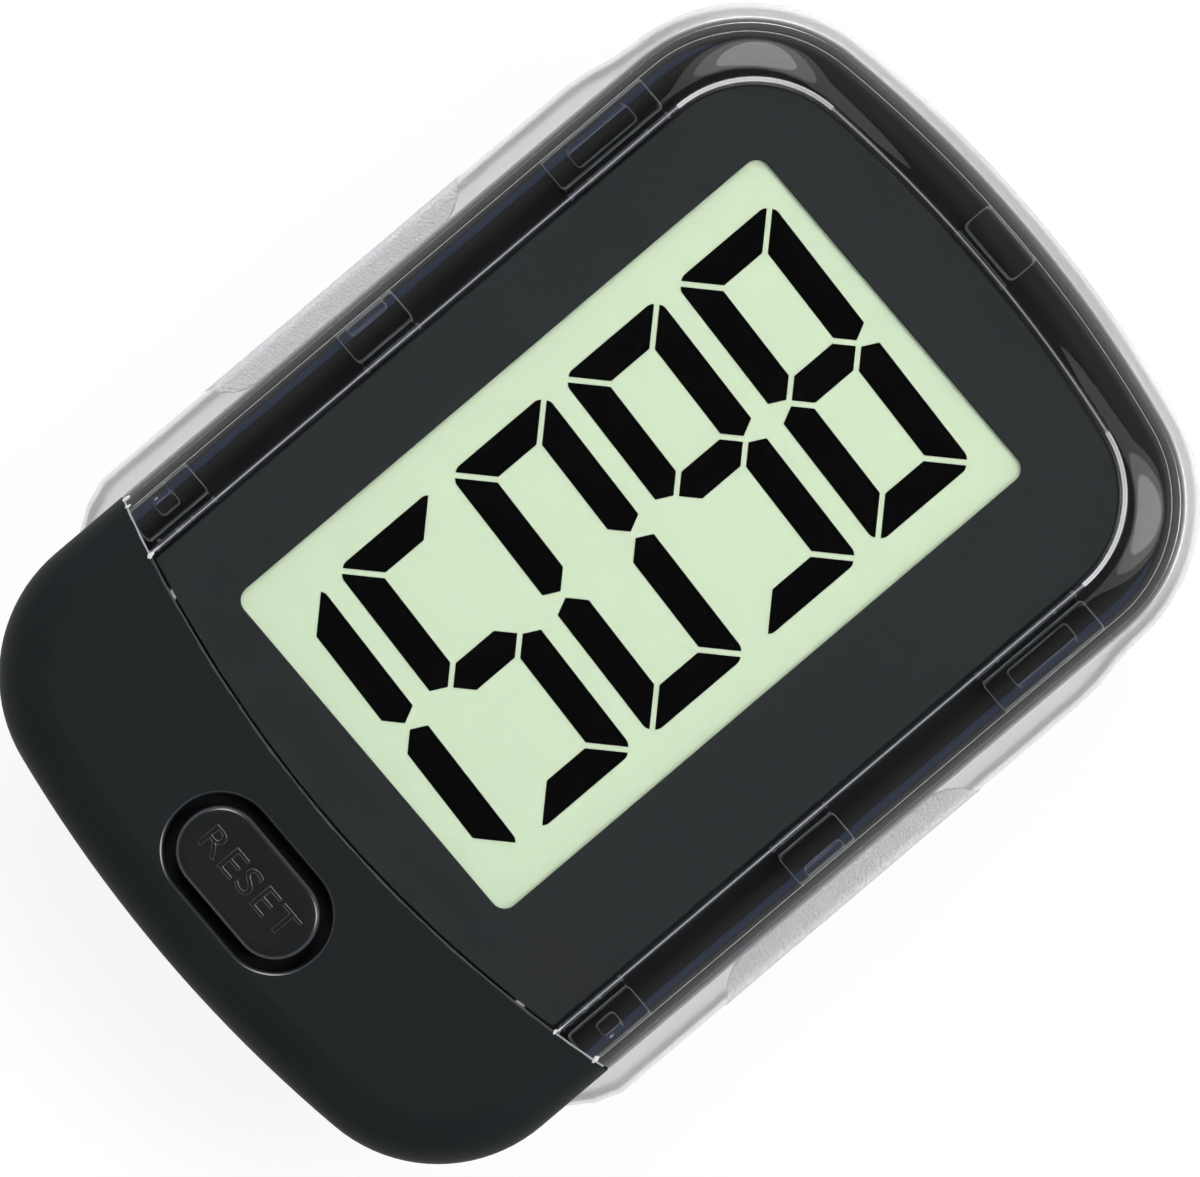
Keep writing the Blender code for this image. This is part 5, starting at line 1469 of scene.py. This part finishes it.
# %% [markdown]
# ## The hinge pin
# A plain steel pin with chamfered ends, turned like the dome but along X.

# %% Build the pin
PIN_RADIUS = 0.8 * MM
PIN_HALF = 8.7 * MM
PIN_EDGE = 0.15 * MM
pin_section = soften([
    (0, -PIN_HALF, 0),
    (PIN_RADIUS, -PIN_HALF, PIN_EDGE),
    (PIN_RADIUS, PIN_HALF, PIN_EDGE),
    (0, PIN_HALF, 0),
], 4)[1:-1]
pin = skin("hinge_pin", along_x(turned_rings(HINGE, pin_section)))
dress(pin, STEEL, "case", ["clip_pin"])

# %% [markdown]
# ## The torsion spring
# The spring presses one leg on the shell and the other on the clip. Its wire is a tube along a helix. A curve
# with a bevel could make it too, but a skin keeps its ends chamfered and its rings square to the wire.

# %% Draw the spring's wire
SPRING_RADIUS = 1.5 * MM
WIRE_RADIUS = 0.3 * MM
HALF_SPAN = 2.3625 * MM
LEG_LENGTH = 5.2 * MM
LEG_RISE = 0.3 * MM
LEG_STEPS = 8
SHELL_LEG_Z = 6.0 * MM
CLIP_LEG_Z = 2.7 * MM
COIL_STEPS = 180
COIL_TURN = 9 * math.pi
WIRE_SIDES = 14
WIRE_END_SHARE = 0.75


def spring_route():
    """The wire's centre line: a leg, four and a half turns, and the other leg."""
    y, z = HINGE
    points = []
    for step in range(LEG_STEPS):
        share = step / LEG_STEPS
        points.append((-HALF_SPAN, y + LEG_LENGTH * (1 - share), SHELL_LEG_Z - LEG_RISE * share))
    for step in range(COIL_STEPS + 1):
        turn = COIL_TURN * step / COIL_STEPS
        x = -HALF_SPAN + 2 * HALF_SPAN * step / COIL_STEPS
        points.append((x, y - SPRING_RADIUS * math.sin(turn), z + SPRING_RADIUS * math.cos(turn)))
    for step in range(1, LEG_STEPS + 1):
        share = step / LEG_STEPS
        points.append((HALF_SPAN, y + LEG_LENGTH * share, CLIP_LEG_Z - LEG_RISE * share))
    return [Vector(point) for point in points]


def make_tube(name, route, radius):
    """A round wire along a route, with its ends chamfered."""
    rings = []
    side = Vector((1, 0, 0))
    for index, point in enumerate(route):
        ahead = route[min(index + 1, len(route) - 1)]
        behind = route[max(index - 1, 0)]
        along = (ahead - behind).normalized()
        side = (side - along * side.dot(along)).normalized()
        up = along.cross(side)
        size = radius * (WIRE_END_SHARE if index in (0, len(route) - 1) else 1)
        turns = [2 * math.pi * step / WIRE_SIDES for step in range(WIRE_SIDES)]
        rings.append([point + (side * math.cos(a) + up * math.sin(a)) * size for a in turns])
    return skin(name, rings)


# %% [markdown]
# Between its legs a real torsion spring twists evenly. Here the piece is given no body, and its place is
# baked into its mesh.

# %% Build the spring
spring = make_tube("torsion_spring", spring_route(), WIRE_RADIUS)
dress(spring, SPRING_STEEL, None, ["clip_spring"])
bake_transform(spring)

# %% [markdown]
# ## The case screws
# Small self-tapping screws with a domed edge and a cross in the head. The cross is cut with two tapered
# blocks, as the punch does it. Only the heads are ever seen, through the sinks in the back.

# %% Build the case screws
HEAD_LOW_Z = 6.8 * MM
HEAD_HIGH_Z = 7.6 * MM
HEAD_RADIUS = 1.3 * MM
HEAD_ROUND = 0.3 * MM
HEAD_SEAT_ROUND = 0.1 * MM
SHANK_RADIUS = 0.8 * MM
POINT_RADIUS = 0.4 * MM
CROSS_HALVES = (0.15 * MM, 0.7 * MM)
CROSS_TOP_Z = 7.2 * MM
CROSS_OVERRUN = 0.1 * MM
CROSS_CORNER = 0.06 * MM
CROSS_EDGE = 0.05 * MM


def make_case_screw(name, place, tip):
    """A screw driven from the back."""
    section = soften([
        (0, HEAD_LOW_Z, 0),
        (HEAD_RADIUS, HEAD_LOW_Z, HEAD_ROUND),
        (HEAD_RADIUS, HEAD_HIGH_Z, HEAD_SEAT_ROUND),
        (SHANK_RADIUS, HEAD_HIGH_Z, 0),
        (SHANK_RADIUS, tip - POINT_RADIUS, 0),
        (POINT_RADIUS, tip, 0),
    ], 5)[1:]
    screw = skin(name, turned_rings(place, section))
    for wide, long in (CROSS_HALVES, CROSS_HALVES[::-1]):
        plan = rectangle(place, 2 * wide, 2 * long, CROSS_CORNER)
        rings = [
            at_height(plan, HEAD_LOW_Z - CROSS_OVERRUN),
            at_height(plan, HEAD_LOW_Z + CROSS_OVERRUN),
            at_height(inward(plan, CROSS_EDGE), CROSS_TOP_Z),
        ]
        combine(screw, skin("cross", rings), "DIFFERENCE")
    return screw


# %% [markdown]
# The lower two screws are longer, since they also hold the cap, so the tip depends on the place.

# %% Drive the case screws in
UPPER_TIP_Z = 12.2 * MM
LOWER_TIP_Z = 15.95 * MM
for place in SCREW_PLACES:
    end = "lower" if place[1] < 0 else "upper"
    side = "left" if place[0] < 0 else "right"
    tip = LOWER_TIP_Z if end == "lower" else UPPER_TIP_Z
    screw = make_case_screw(f"screw_{end}_{side}", place, tip)
    dress(screw, STEEL, "case", [f"case_screw_{end}_{side}"])

# %% [markdown]
# ## The display
# A liquid crystal display is two sheets of glass with a pale green reflector behind. The reflector and the
# rear glass are one piece here, since nothing is seen between them, and the front glass is a thin sheet.

# %% Build the display's glass and reflector
DISPLAY_CENTRE = (-0.9 * MM, 2.775 * MM)
DISPLAY_LENGTH = 36.7 * MM
REAR_WIDTH = 22.4 * MM
FRONT_WIDTH = 25.4 * MM
PANEL_CORNER = 0.3 * MM
REFLECTOR_Z = 14.45 * MM
REAR_Z = 15.50 * MM
PANEL_Z = 15.95 * MM
FRONT_LOW_Z = 15.99 * MM
FRONT_HIGH_Z = 16.09 * MM
FRONT_EDGE = 0.02 * MM


def make_panel():
    """The pale green reflector with the rear glass's edge, up to just under the segments."""
    lower = rectangle(DISPLAY_CENTRE, REAR_WIDTH, DISPLAY_LENGTH, PANEL_CORNER)
    upper = rectangle(DISPLAY_CENTRE, FRONT_WIDTH, DISPLAY_LENGTH, PANEL_CORNER)
    rings = plate_rings(lower, REFLECTOR_Z, REAR_Z)[:3] + plate_rings(upper, REAR_Z, PANEL_Z)
    return skin("display_panel", rings)


def make_front_glass():
    """The sheet over the segments."""
    plan = rectangle(DISPLAY_CENTRE, FRONT_WIDTH, DISPLAY_LENGTH, PANEL_CORNER)
    return skin("display_glass", plate_rings(plan, FRONT_LOW_Z, FRONT_HIGH_Z, FRONT_EDGE))


dress(make_panel(), DISPLAY_GREEN, "case", ["display_reflector", "display_rear_glass"])
dress(make_front_glass(), GLASS, "case", ["display_front_glass"])

# %% [markdown]
# ## The digits
# Each digit is lit from seven segments with mitred ends and round outer corners. Three of them, drawn once,
# give all seven by mirroring.

# %% Draw the seven segments
DIGIT_WIDTH = 6.3 * MM
DIGIT_HEIGHT = 16.55 * MM
STROKE = 1.7 * MM
SEGMENT_GAP = 0.28 * MM
DIGIT_ROUND = 0.5 * MM


def segment_outlines():
    """The seven segments of one digit, with u to the right and v up."""
    half_w = DIGIT_WIDTH / 2
    half_h = DIGIT_HEIGHT / 2
    mitre = SEGMENT_GAP / math.sqrt(2)
    middle = STROKE / 2 + mitre
    inner = half_w - STROKE
    corner_u = -half_w + DIGIT_ROUND
    corner_v = half_h - DIGIT_ROUND
    diagonal = math.pi * 3 / 4
    arc_top = arc((corner_u + mitre, corner_v), DIGIT_ROUND, diagonal, math.pi / 2, 6)
    arc_side = arc((corner_u, corner_v - mitre), DIGIT_ROUND, math.pi, diagonal, 6)
    top_left = [(-inner + mitre, half_h - STROKE)] + arc_top
    top = top_left + [(-u, v) for u, v in reversed(top_left)]
    upper_left = [(-half_w, mitre + STROKE / 4), *arc_side, (-inner, half_h - STROKE - mitre)]
    upper_left += [(-inner, middle), (-half_w + STROKE / 2, mitre)]
    bar_left = [(-inner + mitre, -STROKE / 2), (-half_w + middle, 0), (-inner + mitre, STROKE / 2)]
    return {
        "a": top,
        "b": [(-u, v) for u, v in upper_left],
        "c": [(-u, -v) for u, v in upper_left],
        "d": [(u, -v) for u, v in top],
        "e": [(u, -v) for u, v in upper_left],
        "f": upper_left,
        "g": bar_left + [(-u, -v) for u, v in bar_left],
    }


# %% [markdown]
# A digit is then a list of segment letters. The row leans a little, as such digits do, and lies along the
# case. All lit segments are one thin piece that stands on the reflector.

# %% Light the digits
DIGIT_PITCH = 7.4 * MM
DIGITS_X = -0.8 * MM
DIGITS_Y = 0.55 * MM
DIGIT_LEAN = 0.044
SEGMENT_LOW = 0.002 * MM
SEGMENT_HIGH = 0.03 * MM
LIT = {"0": "abcdef", "1": "bc", "5": "acdfg", "8": "abcdefg", "9": "abcdfg"}


def make_digits(reading):
    """All lit segments as one thin piece."""
    shape = bmesh.new()
    shapes = segment_outlines()
    for index, digit in enumerate(reading):
        centre_y = DIGITS_Y + (index - 2) * DIGIT_PITCH
        for name in LIT[digit]:
            plan = [(DIGITS_X - v, centre_y + u + DIGIT_LEAN * v) for u, v in shapes[name]]
            low = [shape.verts.new((x, y, PANEL_Z + SEGMENT_LOW)) for x, y in plan]
            high = [shape.verts.new((x, y, PANEL_Z + SEGMENT_HIGH)) for x, y in plan]
            shape.faces.new(low)
            shape.faces.new(high)
            for first in range(len(plan)):
                after = (first + 1) % len(plan)
                shape.faces.new((low[first], low[after], high[after], high[first]))
    return link_mesh("display_digits", shape)


dress(make_digits("15098"), SEGMENT_BLACK, "case", ["segment_film"])

# %% [markdown]
# ## The mask
# The mask is a thin black sheet printed behind the lens. Its window is cut with a tool that widens upwards,
# so that only a knife edge stands next to the display and hardly shades it.

# %% Build the mask
MASK_Z = 16.2 * MM
MASK_TOP_Z = 16.32 * MM
MASK_INSET = 0.3 * MM
MASK_EDGE = 0.06 * MM
WINDOW_WIDTH = 20.75 * MM
WINDOW_LENGTH = 34.35 * MM
WINDOW_CORNER = 0.75 * MM
WINDOW_FLARE = 0.1 * MM
WINDOW_STEPS = 10
MASK_GAP = 0.1 * MM
KNIFE_EDGE = 0.02 * MM
CUT_BELOW = 0.1 * MM
CUT_ABOVE = 0.05 * MM


def make_mask():
    """The black sheet with its window."""
    mask = skin("window_mask", plate_rings(panel_ring(MASK_INSET), MASK_Z, MASK_TOP_Z, MASK_EDGE))
    combine(mask, seam_block("mask_seam", MASK_GAP, False), "DIFFERENCE")
    window = rectangle(DISPLAY_CENTRE, WINDOW_WIDTH, WINDOW_LENGTH, WINDOW_CORNER, WINDOW_STEPS)
    rings = [
        at_height(window, MASK_Z - CUT_BELOW),
        at_height(window, MASK_Z + KNIFE_EDGE),
        at_height(inward(window, -WINDOW_FLARE), MASK_TOP_Z + CUT_ABOVE),
    ]
    return combine(mask, skin("mask_window", rings), "DIFFERENCE")


dress(make_mask(), MASK_BLACK, "case", ["display_mask"])

# %% [markdown]
# ## The snap hooks
# Clear hooks hang from the cover's ceiling and hold it to the frame. There are three along each side, each
# with a smaller catch, and one at the clear end. Each is a block with round corners and narrow bevels. The
# tables give a block's foot and top along the case, and its inner and outer face from the middle, in mm.

# %% Build the hooks
HOOK_FACES = (16.1, 17.7)
HOOKS = [(11.3, 17.85), (-2.1, 1.5), (-15.9, -11.9)]
CATCHES = [(12.6, 16.5, 16.35, 17.2), (-1.5, 0.9, 17.15, 17.6), (-14.5, -13.3, 16.5, 17.2)]
HOOK_LOW_Z = 13.2 * MM
HOOK_HIGH_Z = 16.5 * MM
CATCH_LOW_Z = 15.0 * MM
CATCH_HIGH_Z = 16.3 * MM
HOOK_CORNER = 0.22 * MM
HOOK_BEVEL = 0.05 * MM
END_HOOK_LOW = (-1.9 * MM, 25.3 * MM, HOOK_LOW_Z)
END_HOOK_HIGH = (1.8 * MM, 26.8 * MM, HOOK_HIGH_Z)
END_HOOK_CORNER = 0.3 * MM


def rounded_block(name, low, high, corner):
    """A block with round corners and a narrow bevel at its foot and top."""
    centre = ((low[0] + high[0]) / 2, (low[1] + high[1]) / 2)
    outline = rectangle(centre, high[0] - low[0], high[1] - low[1], corner)
    return skin(name, plate_rings(outline, low[2], high[2], HOOK_BEVEL))


def hook_pair(span, low_z, high_z):
    """The same block on both sides of the case."""
    foot, top, inner, outer = [length * MM for length in span]
    pair = []
    for side in (-1, 1):
        near, far = sorted((side * inner, side * outer))
        pair.append(rounded_block("hook", (near, foot, low_z), (far, top, high_z), HOOK_CORNER))
    return pair


def make_hooks():
    """Hooks along both sides and one at the clear end, as one piece."""
    pieces = []
    for hook, catch in zip(HOOKS, CATCHES):
        pieces += hook_pair((*hook, *HOOK_FACES), HOOK_LOW_Z, HOOK_HIGH_Z)
        pieces += hook_pair(catch, CATCH_LOW_Z, CATCH_HIGH_Z)
    pieces.append(rounded_block("hook_end", END_HOOK_LOW, END_HOOK_HIGH, END_HOOK_CORNER))
    shape = bmesh.new()
    for piece in pieces:
        shape.from_mesh(piece.data)
        bpy.data.objects.remove(piece, do_unlink=True)
    return link_mesh("snap_hooks", shape)


hooks = dress(make_hooks(), CLEAR, "case")

# %% [markdown]
# Clear hooks behind a clear wall are seen only by their edges, which catch the light. The bevels and the
# round corners get a matt grey painted highlight for it.

# %% Paint highlights on the hooks' edges
BEVEL_SLANTS = (0.2, 0.9)
UPRIGHT_SLANT = 0.1


def on_bevel(face):
    """True for a hook's bevels and round corners."""
    x, y, z = [abs(part) for part in face.normal]
    slanted = BEVEL_SLANTS[0] < z < BEVEL_SLANTS[1]
    cornered = z < UPRIGHT_SLANT and min(x, y) > BEVEL_SLANTS[0]
    return slanted or cornered


accent(hooks, HOOK_EDGE_HIGHLIGHT, on_bevel)
print("faces with a painted highlight:", sum(face.material_index for face in hooks.data.polygons))

# %% [markdown]
# ## The seam
# The cut edge of a clear moulding always shines, since it passes on light from its whole depth. Here a thin
# strip along the seam stands for it, with a painted highlight, bright at the rim and dim over the lens. It
# follows the height of the lens and the rim, which is read off the rim's own section, and its width wavers a
# little.

# %% Draw the bright edge along the seam
EDGE_HALF = 18.5 * MM
EDGE_STEPS = 240
EDGE_WIDTH = 0.11 * MM
EDGE_GAP = 0.02 * MM
EDGE_DEPTH = 0.6 * MM
EDGE_LIFT = 0.01 * MM
WAVER_SHARE = 0.25
WAVES = (0.31 * MM, 0.53 * MM)
LENS_HALF = 15.6 * MM
LIT_FROM_X = 15.5 * MM


def seam_height(x):
    """How high the front stands at the seam, at a distance from its middle."""
    if x < LENS_HALF:
        return LENS_Z + EDGE_LIFT
    inset = BODY_HALF - x
    profile = rim_outside()
    for (near, low), (far, high) in zip(profile, profile[1:]):
        if near <= inset <= far:
            return low + (high - low) * (inset - near) / (far - near)
    return RIM_Z


def seam_row(x):
    """The four points of the edge's section at one place across the case."""
    top = seam_height(abs(x))
    back = seam_y(x) - EDGE_GAP
    waver = 1 + WAVER_SHARE * math.sin(x / WAVES[0]) * math.sin(x / WAVES[1])
    front = seam_y(x) - EDGE_WIDTH * waver
    return [(x, front, top - EDGE_DEPTH), (x, front, top), (x, back, top), (x, back, top - EDGE_DEPTH)]


def make_seam_edge():
    """A thin strip between cover and cap, at the height of the faces beside it."""
    shape = bmesh.new()
    xs = [-EDGE_HALF + 2 * EDGE_HALF * step / EDGE_STEPS for step in range(EDGE_STEPS + 1)]
    rows = [[shape.verts.new(point) for point in seam_row(x)] for x in xs]
    for first, second in zip(rows, rows[1:]):
        for index in range(4):
            after = (index + 1) % 4
            shape.faces.new((first[index], first[after], second[after], second[index]))
    shape.faces.new(rows[0])
    shape.faces.new(rows[-1])
    return link_mesh("seam_edge", shape)


seam_edge = dress(make_seam_edge(), BRIGHT_EDGE_HIGHLIGHT, "case")
accent(seam_edge, DIM_EDGE_HIGHLIGHT, lambda face: abs(face.center.x) < LIT_FROM_X)

# %% [markdown]
# Where the seam meets the lens's corners and the case's edge, the moulding tool has left small bright chips.
# Each is a ball pressed flat and made ragged by two waves. The table gives a chip's place across the case,
# its shift along it and its size, in mm.

# %% Add the chips of flash at the seam
CHIPS = [
    (-18.55, 0.12, 0.16),
    (-18.2, 0.03, 0.11),
    (-15.6, 0.03, 0.15),
    (15.6, 0.02, 0.1),
    (17.95, 0.05, 0.16),
]
CHIP_BACK = 0.05 * MM
CHIP_SINK = 0.02 * MM
CHIP_SHARES = (0.8, 1.5, 0.35)
RAGGED_SHARE = 0.3
RAGGED_WAVES = (19, 23)


def make_chips():
    """Small ragged chips, as one piece."""
    shape = bmesh.new()
    wide, long, flat = CHIP_SHARES
    for order, (x, shift, size) in enumerate(CHIPS):
        chip = bmesh.ops.create_icosphere(shape, subdivisions=3, radius=size * MM)["verts"]
        top = seam_height(abs(x * MM)) - CHIP_SINK
        centre = Vector((x * MM, seam_y(x * MM, shift * MM - CHIP_BACK), top))
        for vert in chip:
            place = vert.co / MM
            waves = math.sin(RAGGED_WAVES[0] * place.x + order) * math.sin(RAGGED_WAVES[1] * place.y)
            ragged = 1 + RAGGED_SHARE * waves
            vert.co = Vector((place.x * ragged * wide, place.y * ragged * long, place.z * flat)) * MM
            vert.co += centre
    return link_mesh("seam_chips", shape)


dress(make_chips(), FLASH, "case")

# %% [markdown]
# ## Carried-over pieces
# Pieces whose CAD shape is already right keep it, and only get their finish.

# %% Dress the CAD nodes that stay
FINISHES = {
    "inner_frame": FRAME_BLACK,
    "left_contact_strip": RUBBER,
    "right_contact_strip": RUBBER,
    "circuit_board": BOARD_GREEN,
    "processor_blob": EPOXY,
    "motion_sensor": CHIP_DARK,
    "clock_crystal": TIN,
    "capacitor_left": CHIP_TAN,
    "capacitor_middle": CHIP_TAN,
    "capacitor_top": CHIP_TAN,
    "resistor_left": CHIP_DARK,
    "resistor_top": CHIP_DARK,
    "battery_holder": BLACK,
    "coin_cell": STEEL,
    "positive_contact": SPRING_STEEL,
    "negative_contact": SPRING_STEEL,
    "board_screw_left": STEEL,
    "board_screw_right": STEEL,
}
for name, material in FINISHES.items():
    dress_node(name, material)
print("CAD nodes that stay:", len(FINISHES))
